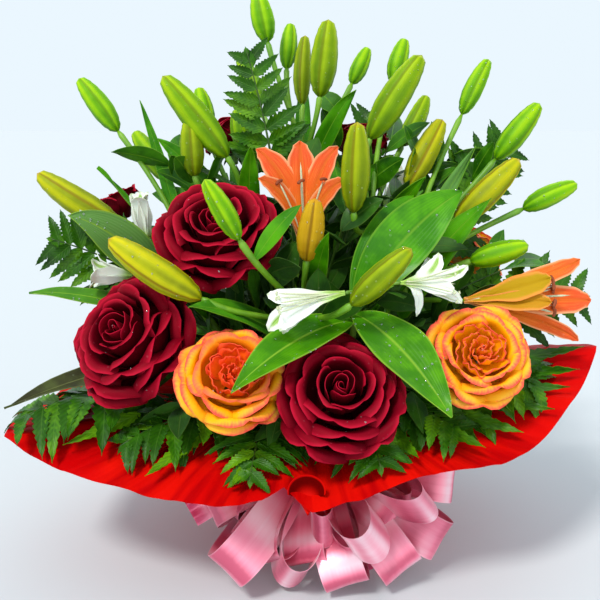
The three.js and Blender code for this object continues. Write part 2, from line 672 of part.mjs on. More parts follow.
// Each lily stalk: the point where it branches, then its buds as base, tip and width.
// A leaf is the share of the stem's length where it springs, its tip, its width and, where that
// isn't up, the way that its upper side faces.
const LILIES = [
  {
    name: "lily_stalk_front", place: 0, branch: [4, -62, 222],
    buds: [
      [[5, -99, 286], [12, -102, 338], 17], [[38, -147, 262], [83, -151, 307], 21],
      [[-45, -146, 312], [-70, -148, 358], 17], [[-76, -127, 262], [-150, -115, 308], 25],
    ],
    leaves: [[0.88, [-84, -150, 262], 26, [0, -0.6, 0.8]], [0.93, [4, -128, 324], 15]],
    bloom: {
      name: "lily_bloom_front", foot: [6, -52, 268],
      faces: [-0.06, 0.05, 1], length: 112, width: 34, open: 0.95,
    },
  },
  {
    name: "lily_stalk_top", place: 180, branch: [2, 42, 350],
    buds: [
      [[-30, 59, 462], [-40, 70, 508], 22], [[-13, 83, 438], [-9, 99, 482], 17],
      [[2, 58, 404], [5, 82, 470], 17], [[18, 34, 412], [26, 42, 482], 25],
      [[51, 104, 424], [68, 118, 460], 17], [[-40, 110, 400], [-62, 140, 455], 20],
    ],
    leaves: [[0.9, [4, 120, 430], 16], [0.93, [50, 12, 420], 16]],
  },
  {
    name: "lily_stalk_top_right", place: 60, branch: [66, 8, 300],
    buds: [
      [[90, 90, 425], [103, 106, 468], 19], [[62, 8, 376], [108, 13, 450], 27],
      [[98, 65, 366], [124, 87, 414], 19], [[98, 18, 331], [133, 44, 393], 24],
      [[44, -78, 322], [46, -76, 396], 24],
    ],
    leaves: [[0.82, [104, -60, 350], 20]],
  },
  {
    name: "lily_stalk_right", place: 30, branch: [96, -26, 250],
    buds: [
      [[154, 63, 396], [181, 81, 448], 19], [[179, 22, 357], [219, 29, 408], 22],
      [[136, -23, 304], [193, -14, 361], 25], [[199, -9, 316], [247, -9, 339], 19],
      [[146, -48, 276], [195, -55, 292], 21],
    ],
    leaves: [
      [0.62, [150, -74, 336], 40, [0, -0.9, 0.5]], [0.66, [106, -44, 340], 34, [-0.2, -0.9, 0.4]],
      [0.72, [150, -34, 374], 17], [0.8, [196, 60, 352], 15],
    ],
    bloom: {
      name: "lily_bloom_right", foot: [140, -66, 246],
      faces: [0.93, -0.2, 0.1], length: 104, width: 32, open: 0.62,
    },
  },
  {
    name: "lily_stalk_top_left", place: 0, branch: [-52, -6, 302],
    buds: [
      [[-62, -22, 362], [-118, -16, 432], 26], [[-84, 22, 382], [-93, 36, 422], 18],
      [[-92, -24, 346], [-95, -22, 398], 21], [[-54, 50, 366], [-60, 62, 402], 19],
    ],
    leaves: [[0.88, [-42, -36, 374], 18], [0.95, [-128, 4, 378], 20]],
  },
  {
    name: "lily_stalk_left", place: -90, branch: [-104, -6, 268],
    buds: [
      [[-156, -36, 306], [-228, -28, 350], 24], [[-167, 30, 382], [-204, 42, 430], 21],
      [[-130, 84, 330], [-168, 112, 378], 22],
    ],
    leaves: [[0.8, [-182, 0, 352], 14], [0.86, [-148, 40, 410], 12], [0.66, [-238, -104, 172], 24, [0, -0.5, 0.85]]],
  },
];

const ALSTROEMERIAS = [
  {
    name: "alstroemeria_spray_front", place: 0, branch: [44, -108, 248],
    leaves: [[0.97, [-51, -180, 204], 36], [0.99, [112, -184, 186], 42]],
    blooms: [
      {
        name: "alstroemeria_bloom_front", foot: [34, -146, 272],
        faces: [-0.94, -0.2, -0.1], length: 60, width: 22, open: 0.6,
      },
      {
        name: "alstroemeria_bloom_front_right", foot: [80, -112, 272],
        faces: [0.93, -0.3, 0.05], length: 52, width: 22, open: 1.25,
      },
    ],
  },
  {
    name: "alstroemeria_spray_left", place: -90, branch: [-118, -44, 262],
    leaves: [[0.8, [-232, -62, 252], 14], [0.97, [-184, -100, 324], 34, [0, -0.9, 0.5]]],
    blooms: [
      {
        name: "alstroemeria_bloom_left", foot: [-134, -36, 292],
        faces: [-0.1, -0.1, 1], length: 42, width: 18, open: 0.6,
      },
      {
        name: "alstroemeria_bloom_far_left", foot: [-146, -48, 264],
        faces: [-0.97, -0.1, 0.12], length: 36, width: 16, open: 0.8,
      },
    ],
  },
  {
    name: "alstroemeria_spray_back", place: 120, branch: [60, 90, 280],
    leaves: [[0.85, [-10, 130, 320], 30], [0.92, [60, 160, 330], 26]],
    blooms: [
      {
        name: "alstroemeria_bloom_back", foot: [86, 112, 300],
        faces: [0.6, 0.6, 0.5], length: 54, width: 22, open: 1.1,
      },
    ],
  },
];

// Fronds that lie along the collar: azimuth, share of the way out where leaves begin and end.
const LOW_FRONDS = [
  { name: "fern_frond_front_left", place: -80, azimuth: -43, from: 0.42, to: 0.86, bend: -8 },
  { name: "fern_frond_front", place: -40, azimuth: -17, from: 0.42, to: 0.96, bend: 4 },
  { name: "fern_frond_front_right", place: 0, azimuth: 26, from: 0.42, to: 0.98, bend: -6 },
  { name: "fern_frond_right_low", place: 20, azimuth: 43, from: 0.4, to: 0.84, bend: 2 },
  { name: "fern_frond_right", place: 40, azimuth: 66, from: 0.4, to: 0.88, bend: 2 },
  { name: "fern_frond_far_left", place: -120, azimuth: -72, from: 0.45, to: 0.98, bend: 5 },
  { name: "fern_frond_back_right", place: 120, azimuth: 125, from: 0.4, to: 0.92, bend: 6 },
  { name: "fern_frond_back", place: 180, azimuth: 178, from: 0.4, to: 0.94, bend: 6 },
  { name: "fern_frond_back_left", place: -160, azimuth: -122, from: 0.4, to: 0.94, bend: 6 },
];
const FROND_OVER = 13; // height of a low frond's rib over the paper

// Fronds that stand up: where the leafy part begins, its bend and its tip, and the way it faces.
const HIGH_FRONDS = [
  {
    name: "fern_frond_top", place: 180,
    points: [[-24, 20, 345], [-32, 18, 400], [-48, 12, 456]], face: [0, -1, 0.2], spread: 0.26,
  },
  {
    name: "fern_frond_upper_left", place: -140,
    points: [[-134, 6, 246], [-180, -6, 276], [-225, -20, 292]], face: [-0.2, -0.8, 0.5],
  },
  {
    name: "fern_frond_upper_right", place: 80,
    points: [[124, 52, 270], [162, 58, 330], [204, 64, 372]], face: [0.1, -0.9, 0.4],
  },
  {
    name: "fern_frond_right_high", place: 45,
    points: [[130, 0, 210], [190, -10, 240], [262, -20, 240]], face: [0, -0.6, 0.8],
  },
  {
    name: "fern_frond_top_back", place: 156,
    points: [[40, 90, 280], [56, 120, 340], [80, 150, 400]], face: [0.2, 0.9, 0.3],
  },
];

// Assembly

const bouquet = new THREE.Group();
const add = (name, material, solid) => bouquet.add(meshOf(name, material, solid));

add("wrap_paper", "redPaper", wrap());
add("ribbon_band", "pinkSatin", hoop(WAIST_R + 0.5, BAND_R, WAIST_LOW + 2, WAIST_HIGH - 2));
add("ribbon_bow", "pinkSatin", bow());

const FORK_PITCH = 5; // distance down the stem from one side stalk to the next

// A stalk that branches: the main stem, a side stalk to each head, and leaves.
function spray(kind, { place, branch, buds = [], leaves = [] }, heads) {
  const fork = v(...branch);
  const stem = settle(kind, place, fork, UP);
  const length = stem.getLength();
  const parts = [stalk(stem, STEM_R[kind], { shares: stemShares(stem), flatFoot: true })];
  let forks = 0;
  const side = (base, arrive) => {
    const low = stem.getPointAt(1 - (2 + FORK_PITCH * forks++) / length);
    const reach = low.distanceTo(base);
    return new THREE.CubicBezierCurve3(
      low,
      low.clone().addScaledVector(UP, reach * 0.3),
      base.clone().addScaledVector(arrive, -reach * 0.35),
      base,
    );
  };
  for (const [base, tip, width] of buds) {
    const [from, to] = [v(...base), v(...tip)];
    const path = side(from, to.clone().sub(from).normalize());
    parts.push(budOnStalk(path, STEM_R[kind] * 0.7, from, to, width));
  }
  for (const head of heads) {
    const axis = v(...head.faces).normalize();
    const path = side(v(...head.foot).addScaledVector(axis, -CLEAR), axis);
    parts.push(stalk(path, STEM_R[kind] * 0.62, { sides: 3 }));
  }
  for (const [share, tip, width, face = [0, 0, 1]] of leaves) {
    parts.push(blade(stem.getPointAt(share), v(...tip), width, v(...face)));
  }
  return join(parts);
}

function addTrumpet(material, head, rows) {
  const axis = v(...head.faces).normalize();
  const mesh = meshOf(head.name, material, trumpet({ ...head, rows }));
  mesh.position.set(...head.foot);
  mesh.quaternion.setFromUnitVectors(UP, axis);
  bouquet.add(mesh);
}

for (const rose of ROSES) {
  const bloom = meshOf(`${rose.name}_bloom`, rose.colour, roseBloom(rose.width, rose.layers ?? FULL_ROSE));
  bloom.position.copy(roseFoot(rose));
  bloom.quaternion.setFromUnitVectors(UP, v(...rose.faces).normalize());
  bouquet.add(bloom);
  bloom.updateMatrix();
  bunch.inTheWay.push(solidOf(bloom.geometry.clone().applyMatrix4(bloom.matrix)));
}
for (const lily of LILIES) {
  const heads = lily.bloom ? [lily.bloom] : [];
  add(lily.name, "lilyGreen", spray("lily", lily, heads));
  heads.forEach((head) => addTrumpet("lilyPetal", head));
}
for (const rose of ROSES) add(`${rose.name}_stem`, "roseGreen", roseStem(rose));

for (const flower of ALSTROEMERIAS) {
  add(flower.name, "alstroemeriaGreen", spray("alstroemeria", flower, flower.blooms));
  flower.blooms.forEach((head) => addTrumpet("whitePetal", head, SHORT_TRUMPET));
}

for (const { name, place, points, face, spread } of HIGH_FRONDS) {
  const [root, bend, tip] = points.map((p) => v(...p));
  add(name, "fernGreen", frond(place, root, bend, tip, { face: v(...face).normalize(), spread }));
}
for (const { name, place, azimuth, from, to, bend } of LOW_FRONDS) {
  const root = collar(azimuth, from, FROND_OVER);
  const middle = collar(azimuth + bend / 2, (from + to) / 2, FROND_OVER + 4);
  const tip = collar(azimuth + bend, to, FROND_OVER);
  const round = collar(azimuth + 20, (from + to) / 2).sub(collar(azimuth - 20, (from + to) / 2));
  const face = tip.clone().sub(root).cross(round).normalize();
  add(name, "fernGreen", frond(place, root, middle, tip, { face, lift: 24, spread: 0.36 }));
}

add("binding_twine", "twine", hoop(bunch.radius + TWINE_GAP, WAIST_R - PAPER - TWINE_GAP, ...TWINE_EDGES));

export default bouquet;
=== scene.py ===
"""A hand-tied mixed bouquet: roses, lilies, alstroemeria and leatherleaf fern in a red paper wrap
with a pink satin bow. Lengths are in millimetres until they reach a mesh, which is in metres."""

import random
from math import acos, cos, dist, exp, log, pi, radians, sin, sqrt

import bpy
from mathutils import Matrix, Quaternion, Vector, noise


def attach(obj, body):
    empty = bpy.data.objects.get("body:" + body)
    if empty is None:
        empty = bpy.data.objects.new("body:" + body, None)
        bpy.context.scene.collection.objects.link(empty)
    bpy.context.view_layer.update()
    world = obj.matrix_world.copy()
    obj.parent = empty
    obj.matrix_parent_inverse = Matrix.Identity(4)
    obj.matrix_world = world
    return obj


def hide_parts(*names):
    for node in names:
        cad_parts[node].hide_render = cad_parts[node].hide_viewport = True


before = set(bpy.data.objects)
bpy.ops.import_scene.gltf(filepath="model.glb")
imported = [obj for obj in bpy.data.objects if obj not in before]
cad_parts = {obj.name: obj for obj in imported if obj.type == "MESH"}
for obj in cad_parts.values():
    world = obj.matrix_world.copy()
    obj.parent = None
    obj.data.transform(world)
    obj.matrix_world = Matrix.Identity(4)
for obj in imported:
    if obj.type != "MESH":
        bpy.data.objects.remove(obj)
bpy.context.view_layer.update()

MM = 0.001
UP = Vector((0, 0, 1))
NEARBY = 0.01
NOISE_STRETCH = 31.7
random.seed(11)


# Curves and numbers


def mix(a, b, share):
    return a + (b - a) * share


def clamp(value, low=0.0, high=1.0):
    return max(low, min(high, value))


def smooth(low, high, value):
    """0 below low, 1 above high, and a soft step between them."""
    t = clamp((value - low) / (high - low))
    return t * t * (3 - 2 * t)


def through(rows, share):
    """The row at a share of the way along a smooth line through rows of numbers."""
    place = clamp(share) * (len(rows) - 1)
    i = min(int(place), len(rows) - 2)
    t = place - i
    before, a, b, after = rows[max(i - 1, 0)], rows[i], rows[i + 1], rows[min(i + 2, len(rows) - 1)]
    return [
        0.5 * (2 * q + (r - p) * t + (2 * p - 5 * q + 4 * r - s) * t * t + (3 * q - p - 3 * r + s) * t**3)
        for p, q, r, s in zip(before, a, b, after)
    ]


def table_at(rows, share):
    """The second number of the rows, at a share that is read along their first."""
    for (x0, y0), (x1, y1) in zip(rows, rows[1:]):
        if share <= x1:
            return mix(y0, y1, smooth(x0, x1, share))
    return rows[-1][1]


def wave(seed, x, y=0.0):
    """Smooth noise from -1 to 1, of which each seed reads a stretch of its own."""
    return noise.noise(Vector((x + NOISE_STRETCH * seed, y, 0.0)))


def heading(path, share):
    return (path(min(share + NEARBY, 1)) - path(max(share - NEARBY, 0))).normalized()


class Curve:
    """A smooth line through points."""

    def __init__(self, points):
        self.points = [Vector(p) for p in points]

    def at(self, share):
        return Vector(through(self.points, share))

    def along(self, share):
        return heading(self.at, share)

    def axes(self, share, face):
        """The ways along, across and out of a surface on the curve that faces face."""
        ahead = self.along(share)
        side = ahead.cross(face).normalized()
        return ahead, side, side.cross(ahead).normalized()

    def length(self, steps):
        return sum((self.at((i + 1) / steps) - self.at(i / steps)).length for i in range(steps))


class Bezier(Curve):
    """A curve from its four control points."""

    def at(self, share):
        a, b, c, d = self.points
        s, t = 1 - share, share
        return a * s**3 + b * 3 * s * s * t + c * 3 * s * t * t + d * t**3


def bow_of_three(root, bend, tip):
    """The curve of a rib: it leaves root towards bend and ends at tip."""
    root, bend, tip = Vector(root), Vector(bend), Vector(tip)
    return Bezier([root, root.lerp(bend, 2 / 3), tip.lerp(bend, 2 / 3), tip])


# Making pieces

WELD_M = 1e-6
blanks = {}


def blank(columns, rows):
    """A flat grid, modelled once for each number of columns and rows, and copied for each use."""
    if (columns, rows) not in blanks:
        bpy.ops.object.select_all(action="DESELECT")
        bpy.ops.mesh.primitive_grid_add(x_subdivisions=columns, y_subdivisions=rows, size=2)
        made = bpy.context.object
        blanks[columns, rows] = made.data.copy()
        bpy.data.objects.remove(made)
    return blanks[columns, rows].copy()


def shaped(columns, rows, place, shade=0.0):
    """A grid bent to a surface: place takes u from -1 to 1 across and t from 0 to 1 along."""
    mesh = blank(columns, rows)
    flat = [(v.co.x, (v.co.y + 1) / 2) for v in mesh.vertices]
    for vertex, (u, t) in zip(mesh.vertices, flat):
        vertex.co = place(u, t) * MM
    tone = mesh.attributes.new("shade", "FLOAT", "POINT")
    tone.data.foreach_set("value", [shade] * len(mesh.vertices))
    return mesh


def frames_along(curve, count):
    """Centres and two crosswise directions at count places along a curve, without a twist."""
    side = Vector((0.31, 0.95, 0.06))
    made = []
    for i in range(count):
        share = i / (count - 1)
        ahead = curve.along(share)
        side = (side - ahead * side.dot(ahead)).normalized()
        made.append((curve.at(share), side, ahead.cross(side)))
    return made


def tube(curve, radius, sides, rows):
    """A round stem along a curve; radius is a number or a function of the share of the way."""
    rings = frames_along(curve, rows + 1)
    thick = radius if callable(radius) else lambda share: radius

    def place(u, t):
        i = min(round(t * rows), rows)
        centre, side, other = rings[i]
        r = 0.0 if i in (0, rows) else thick(t)
        return centre + side * (r * cos(pi * u)) + other * (r * sin(pi * u))

    return shaped(sides, rows, place)


def piece(name, meshes, material, nodes=(), weld=False, thick=0.0, angle=60):
    """One piece out of many shaped surfaces: joined, welded, given its thickness and smoothed."""
    parts = [bpy.data.objects.new(name, mesh) for mesh in meshes]
    bpy.ops.object.select_all(action="DESELECT")
    for part in parts:
        bpy.context.collection.objects.link(part)
        part.select_set(True)
    bpy.context.view_layer.objects.active = parts[0]
    if len(parts) > 1:
        bpy.ops.object.join()
    made = bpy.context.object
    made.name = made.data.name = name
    if weld:
        bpy.ops.object.mode_set(mode="EDIT")
        bpy.ops.mesh.select_all(action="SELECT")
        bpy.ops.mesh.remove_doubles(threshold=WELD_M)
        bpy.ops.mesh.normals_make_consistent(inside=False)
        bpy.ops.object.mode_set(mode="OBJECT")
    if thick:
        skin = made.modifiers.new("Solidify", "SOLIDIFY")
        skin.thickness, skin.offset = thick * MM, 0
        bpy.ops.object.modifier_apply(modifier=skin.name)
    bpy.ops.object.shade_smooth_by_angle(angle=radians(angle))
    made.data.materials.clear()
    made.data.materials.append(material)
    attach(made, "root")
    if nodes:
        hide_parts(*nodes)
    return made


# Shader maths


class Value:
    """A number in a shader: an expression on values adds its Math nodes."""

    def __init__(self, shader, socket):
        self.shader, self.socket = shader, socket

    def maths(self, operation, *inputs):
        return Value(self.shader, self.shader.node("Math", {"operation": operation}, *inputs).outputs[0])

    def __add__(self, other):
        return self.maths("ADD", self, other)

    def __sub__(self, other):
        return self.maths("SUBTRACT", self, other)

    def __rsub__(self, other):
        return self.maths("SUBTRACT", other, self)

    def __mul__(self, other):
        return self.maths("MULTIPLY", self, other)

    def size(self):
        return self.maths("ABSOLUTE", self)

    def sine(self):
        return self.maths("SINE", self)

    def ripple(self):
        """A sine wave from 0 to 1."""
        return self.sine() * 0.5 + 0.5

    def step(self, low, high):
        """0 below low and 1 above high."""
        soft = {"interpolation_type": "SMOOTHSTEP"}
        node = self.shader.node("MapRange", soft, self, low, high, 0.0, 1.0)
        return Value(self.shader, node.outputs[0])


# Sockets of the Mix node, where it mixes colours
MIX_SHARE, MIX_A, MIX_B, MIX_COLOUR = 0, 6, 7, 2
BEAD_REACH = 0.34


class Shader:
    """A material under construction."""

    def __init__(self, name, **finish):
        self.material = bpy.data.materials.new(name)
        self.material.use_nodes = True
        self.tree = self.material.node_tree
        self.surface = self.tree.nodes["Principled BSDF"]
        for socket, value in finish.items():
            self.surface.inputs[socket.replace("_", " ")].default_value = value

    def node(self, kind, settings=None, *values, **named):
        made = self.tree.nodes.new("ShaderNode" + kind)
        for key, value in (settings or {}).items():
            if key == "stops":
                ramp = made.color_ramp.elements
                while len(ramp) < len(value):
                    ramp.new(1)
                for stop, (position, colour) in zip(ramp, value):
                    stop.position, stop.color = position, (*colour, 1)
            else:
                setattr(made, key, value)
        for key, value in [*enumerate(values), *((k.replace("_", " "), v) for k, v in named.items())]:
            self.feed(made.inputs[key], value)
        return made

    def feed(self, socket, value):
        if isinstance(value, Value):
            self.tree.links.new(value.socket, socket)
        elif isinstance(value, bpy.types.NodeSocket):
            self.tree.links.new(value, socket)
        elif isinstance(value, tuple) and len(value) == 3 and socket.type == "RGBA":
            socket.default_value = (*value, 1)
        elif value is not None:
            socket.default_value = value

    def shade(self):
        """The tone that each petal or leaf was made with."""
        return Value(self, self.node("Attribute", {"attribute_name": "shade"}).outputs["Fac"])

    def across_and_along(self):
        """Where on its petal or leaf a point lies: -1 to 1 across and 0 to 1 along."""
        split = self.node("SeparateXYZ", None, self.node("UVMap").outputs[0])
        across, along = (Value(self, split.outputs[i]) for i in (0, 1))
        return across * 2 - 1, along

    def mottle(self, scale, detail, stretch=None):
        """Noise over the piece, in Object coordinates; scale is in patterns a metre."""
        where = self.node("TexCoord").outputs["Object"]
        if stretch:
            where = self.node("Mapping", None, Vector=where, Scale=stretch).outputs[0]
        made = self.node("TexNoise", None, Vector=where, Scale=scale, Detail=detail, Roughness=0.55)
        return Value(self, made.outputs[0])

    def grain(self, across, along, scale, detail=2.0):
        """Noise over a petal's or leaf's own surface, drawn out along it."""
        where = self.node("CombineXYZ", None, across, along, self.shade() * 7).outputs[0]
        made = self.node("TexNoise", None, Vector=where, Scale=scale, Detail=detail)
        return Value(self, made.outputs[0])

    def maps(self, ribs, stretch, scale, detail):
        """The ways across and along, streaks drawn out along the surface, and a mottle."""
        across, along = self.across_and_along()
        return across, along, self.grain(across * ribs, along * stretch, 3.0), self.mottle(scale, detail)

    def blend(self, share, a, b):
        made = self.node("Mix", {"data_type": "RGBA"})
        for place, value in ((MIX_SHARE, share), (MIX_A, a), (MIX_B, b)):
            self.feed(made.inputs[place], value)
        return made.outputs[MIX_COLOUR]

    def ramp(self, share, *stops):
        return self.node("ValToRGB", {"stops": stops}, share).outputs[0]

    def bump(self, height, strength, distance):
        made = self.node("Bump", None, Strength=strength, Distance=distance * MM, Height=height)
        self.feed(self.surface.inputs["Normal"], made.outputs[0])

    def beads(self, scale, amount):
        """Fine beads of water all over: how far each one rises, in the share of cells that has one."""
        where = self.node("TexCoord").outputs["Object"]
        cells = self.node("TexVoronoi", None, Vector=where, Scale=scale)
        pick = Value(self, self.node("SeparateColor", None, cells.outputs["Color"]).outputs[0])
        above = pick - (1 - amount)
        reach = above.maths("MAXIMUM", above, 0.0) * (BEAD_REACH / amount)
        return (reach - Value(self, cells.outputs["Distance"])).step(0.0, 0.1)

    def paint(self, colour, roughness=None):
        self.feed(self.surface.inputs["Base Color"], colour)
        if roughness is not None:
            self.feed(self.surface.inputs["Roughness"], roughness)
        return self.material


def red_rose_velvet():
    s = Shader(
        "red_rose_velvet", Specular_IOR_Level=0.05,
        Sheen_Weight=0.03, Sheen_Roughness=0.4, Sheen_Tint=(1, 0.1, 0.15, 1),
    )
    _, along, veins, mottle = s.maps(9, 2, 90, 4)
    # Darker towards each petal's foot: the petal's own deeper red there, with painted shade of the bloom's
    # recesses, which the outer rows get less of.
    body = s.ramp(
        along * 0.8 + mottle * 0.3,
        (0.0, (0.006, 0.0, 0.001)), (0.4, (0.034, 0.0, 0.002)),
        (0.8, (0.14, 0.0, 0.006)), (1.0, (0.24, 0.001, 0.01)),
    )
    outer = s.blend(s.shade() * 0.4, body, (0.14, 0.0, 0.006))
    # Painted highlight: the petal tips, and their rims most of all, are brightened as if lit.
    painted_light = s.blend(along.step(0.8, 1.0) * 0.4, outer, (0.34, 0.002, 0.015))
    painted_rim_highlight = s.blend(along.step(0.93, 1.0) * 0.6, painted_light, (0.55, 0.008, 0.035))
    beads = s.beads(300, 0.3)
    s.bump(veins * 0.4 + mottle * 0.3 + beads, 0.35, 0.6)
    # Painted glint on the drops: their cells are tinted paler, in place of light on the water.
    colour = s.blend(beads * 0.08, painted_rim_highlight, (0.6, 0.2, 0.25))
    return s.paint(colour, (mottle * 0.25 + 0.45) * (1 - beads * 0.7))


def orange_rose_petal():
    s = Shader("orange_rose_petal", Specular_IOR_Level=0.08)
    across, along, veins, mottle = s.maps(8, 1.5, 60, 3)
    yellow = s.ramp(
        along * 0.8 + mottle * 0.35,
        (0.1, (0.7, 0.27, 0.001)), (0.5, (0.95, 0.46, 0.001)),
        (0.85, (1.0, 0.43, 0.004)), (1.0, (1.0, 0.5, 0.06)),
    )
    deep = s.ramp(
        along + mottle * 0.3,
        (0.2, (1.0, 0.4, 0.006)), (0.6, (1.0, 0.2, 0.008)), (1.0, (0.95, 0.085, 0.015)),
    )
    inner = s.blend(1 - s.shade().step(0.35, 0.75), yellow, deep)
    body = s.blend(s.shade().step(0.8, 1.0) * 0.4, inner, (1.0, 0.58, 0.06))
    edge = (across.size() * 0.8 + mottle * 0.3).step(0.74, 1.04)
    lip = (along + veins * 0.14).step(0.92, 1.07)
    rosy = (1 - (1 - edge * along) * (1 - lip)) * (s.shade().step(0.3, 0.7) * 0.6 + 0.4)
    margin = s.blend(rosy, body, (0.9, 0.1, 0.06))
    beads = s.beads(300, 0.25)
    s.bump(veins * 0.5 + mottle * 0.2 + beads, 0.3, 0.6)
    return s.paint(margin, 0.5 - beads * 0.4)


def lily_petal():
    s = Shader("lily_petal", Specular_IOR_Level=0.1)
    across, along, veins, mottle = s.maps(14, 1.2, 28, 3)
    middle = 1 - across.size().step(0.0, 0.35)
    beads = s.beads(280, 0.3)
    body = s.ramp(
        along + veins * 0.2 + mottle * 0.35 - 0.12,
        (0.1, (0.58, 0.38, 0.02)), (0.35, (0.82, 0.25, 0.01)),
        (0.7, (0.74, 0.1, 0.01)), (1.0, (0.7, 0.065, 0.02)),
    )
    veined = s.blend(veins.step(0.45, 0.7) * 0.5, body, (0.95, 0.36, 0.06))
    rim = s.blend(across.size().step(0.72, 1.0) * 0.7, veined, (0.95, 0.5, 0.25))
    bright = s.blend(middle * 0.5, rim, (0.6, 0.14, 0.01))
    ochre = s.blend(across.size().step(0.6, 0.95), (0.48, 0.29, 0.006), (0.8, 0.3, 0.05))
    stripe = s.blend(s.shade(), bright, ochre)
    s.bump(veins + middle * -0.8 + beads, 0.45, 0.7)
    # Painted glint on the drops: their cells are tinted paler, in place of light on the water.
    return s.paint(s.blend(beads * 0.12, stripe, (0.95, 0.55, 0.3)), 0.45 - beads * 0.25)


def white_petal():
    s = Shader("alstroemeria_petal", Specular_IOR_Level=0.3, Subsurface_Weight=0.1, Subsurface_Scale=0.004)
    across, along = s.across_and_along()
    veins = s.grain(across * 12, along * 1.5, 3.0)
    streak = (1 - across.size().step(0.12, 0.5)) * along.step(0.42, 0.62) * (1 - along.step(0.84, 0.98))
    base = s.blend(1 - along.step(0.08, 0.4), (0.83, 0.85, 0.75), (0.42, 0.62, 0.12))
    marked = s.blend(streak * s.shade() * (veins * 0.8 + 0.5), base, (0.24, 0.45, 0.03))
    tip = s.blend(along.step(0.92, 1.0) * 0.7, marked, (0.42, 0.55, 0.2))
    s.bump(veins, 0.3, 0.5)
    return s.paint(tip, 0.45)


def glossy_leaf(name, light, dark, vein, roughness):
    """A leaf with parallel veins, paler along its edges and middle."""
    s = Shader(name, Specular_IOR_Level=0.12, Coat_Weight=0.05, Coat_Roughness=0.15)
    across, _, streaks, mottle = s.maps(10, 0.8, 45, 3)
    ribs = (across * 46).ripple()
    middle = 1 - across.size().step(0.0, 0.09)
    edge = across.size().step(0.9, 1.0)
    tone = s.blend(mottle.step(0.35, 0.7), dark, light)
    aged = s.blend(s.shade().step(0.0, 1.0), tone, s.blend(0.5, light, (0.17, 0.26, 0.12)))
    ribbed = s.blend(ribs * streaks * 0.5, aged, dark)
    lined = s.blend(1 - (1 - middle * 0.7) * (1 - edge * 0.8), ribbed, vein)
    beads = s.beads(260, 0.3)
    s.bump(ribs * 0.3 + streaks * 0.4 - middle + beads, 0.4, 0.6)
    # Painted glint on the drops: their cells are tinted paler, in place of light on the water.
    colour = s.blend(beads * 0.1, lined, (0.4, 0.55, 0.3))
    return s.paint(colour, (mottle * 0.2 + roughness) * (1 - beads * 0.7))


def fern_leaf():
    s = Shader("fern_leaf", Specular_IOR_Level=0.15, Coat_Weight=0.06, Coat_Roughness=0.25)
    across, along = s.across_and_along()
    mottle = s.mottle(70, 3)
    ribs = (along * 60 + across.size() * -9).ripple()
    middle = 1 - across.size().step(0.0, 0.12)
    tone = s.ramp(
        mottle * 0.7 + s.shade() * 0.5,
        (0.25, (0.005, 0.03, 0.001)), (0.6, (0.03, 0.13, 0.002)), (0.95, (0.16, 0.38, 0.004)),
    )
    lined = s.blend(ribs * 0.3, tone, (0.006, 0.035, 0.003))
    ribbed = s.blend(middle * 0.4, lined, (0.08, 0.2, 0.02))
    s.bump(ribs * 0.5 + mottle * 0.4 - middle * 0.6, 0.45, 0.5)
    return s.paint(ribbed, mottle * 0.2 + 0.3)


def lily_bud():
    s = Shader("lily_bud", Specular_IOR_Level=0.12)
    across, along, lines, mottle = s.maps(22, 1.4, 80, 4)
    seam = 1 - (across * 1.5 * pi).sine().size().step(0.05, 0.3)
    ridges = (across * 6 * pi).ripple()
    # Paler towards the tip and at random, and paler on the ridges' crests than between them: painted
    # highlight and shade of the ridges.
    tone_with_painted_ridges = along * 0.4 + mottle * 0.35 + ridges * 0.35
    green, ripe, olive = (s.ramp(tone_with_painted_ridges, *zip((0.15, 0.5, 0.9), tones)) for tones in (
        ((0.04, 0.2, 0.001), (0.17, 0.46, 0.001), (0.42, 0.72, 0.003)),
        ((0.14, 0.17, 0.001), (0.42, 0.44, 0.002), (0.72, 0.62, 0.006)),
        ((0.06, 0.11, 0.001), (0.18, 0.27, 0.001), (0.38, 0.48, 0.003)),
    ))
    fresh = s.blend(s.shade().step(0.5, 1.0), s.blend(s.shade().step(0.0, 0.5), green, olive), ripe)
    body = s.blend(s.shade().step(1.0, 1.3) * 0.7, fresh, (0.62, 0.26, 0.008))
    lined = s.blend(lines * 0.4, body, s.blend(s.shade(), (0.03, 0.13, 0.001), (0.16, 0.14, 0.002)))
    groove = s.blend(s.shade(), (0.04, 0.12, 0.001), (0.24, 0.12, 0.003))
    seamed = s.blend(seam * (s.shade() * 0.4 + 0.4), lined, groove)
    tip = s.blend(along.step(0.93, 1.0) * s.shade() * 0.6, seamed, (0.6, 0.26, 0.01))
    beads = s.beads(300, 0.45)
    s.bump(lines * 0.5 - seam * 0.7 + ridges * 0.4 + beads, 0.6, 0.8)
    # Painted glint on the drops: their cells are tinted paler, in place of light on the water.
    colour = s.blend(beads * 0.15, tip, (0.6, 0.7, 0.3))
    return s.paint(colour, (mottle * 0.2 + 0.36) * (1 - beads * 0.75))


def stem_skin(name, colour, dark):
    s = Shader(name, Coat_Weight=0.1, Coat_Roughness=0.4)
    mottle = s.mottle(60, 3, stretch=(1, 1, 0.25))
    s.bump(mottle, 0.25, 0.4)
    return s.paint(s.blend(mottle.step(0.35, 0.7), dark, colour), mottle * 0.2 + 0.38)


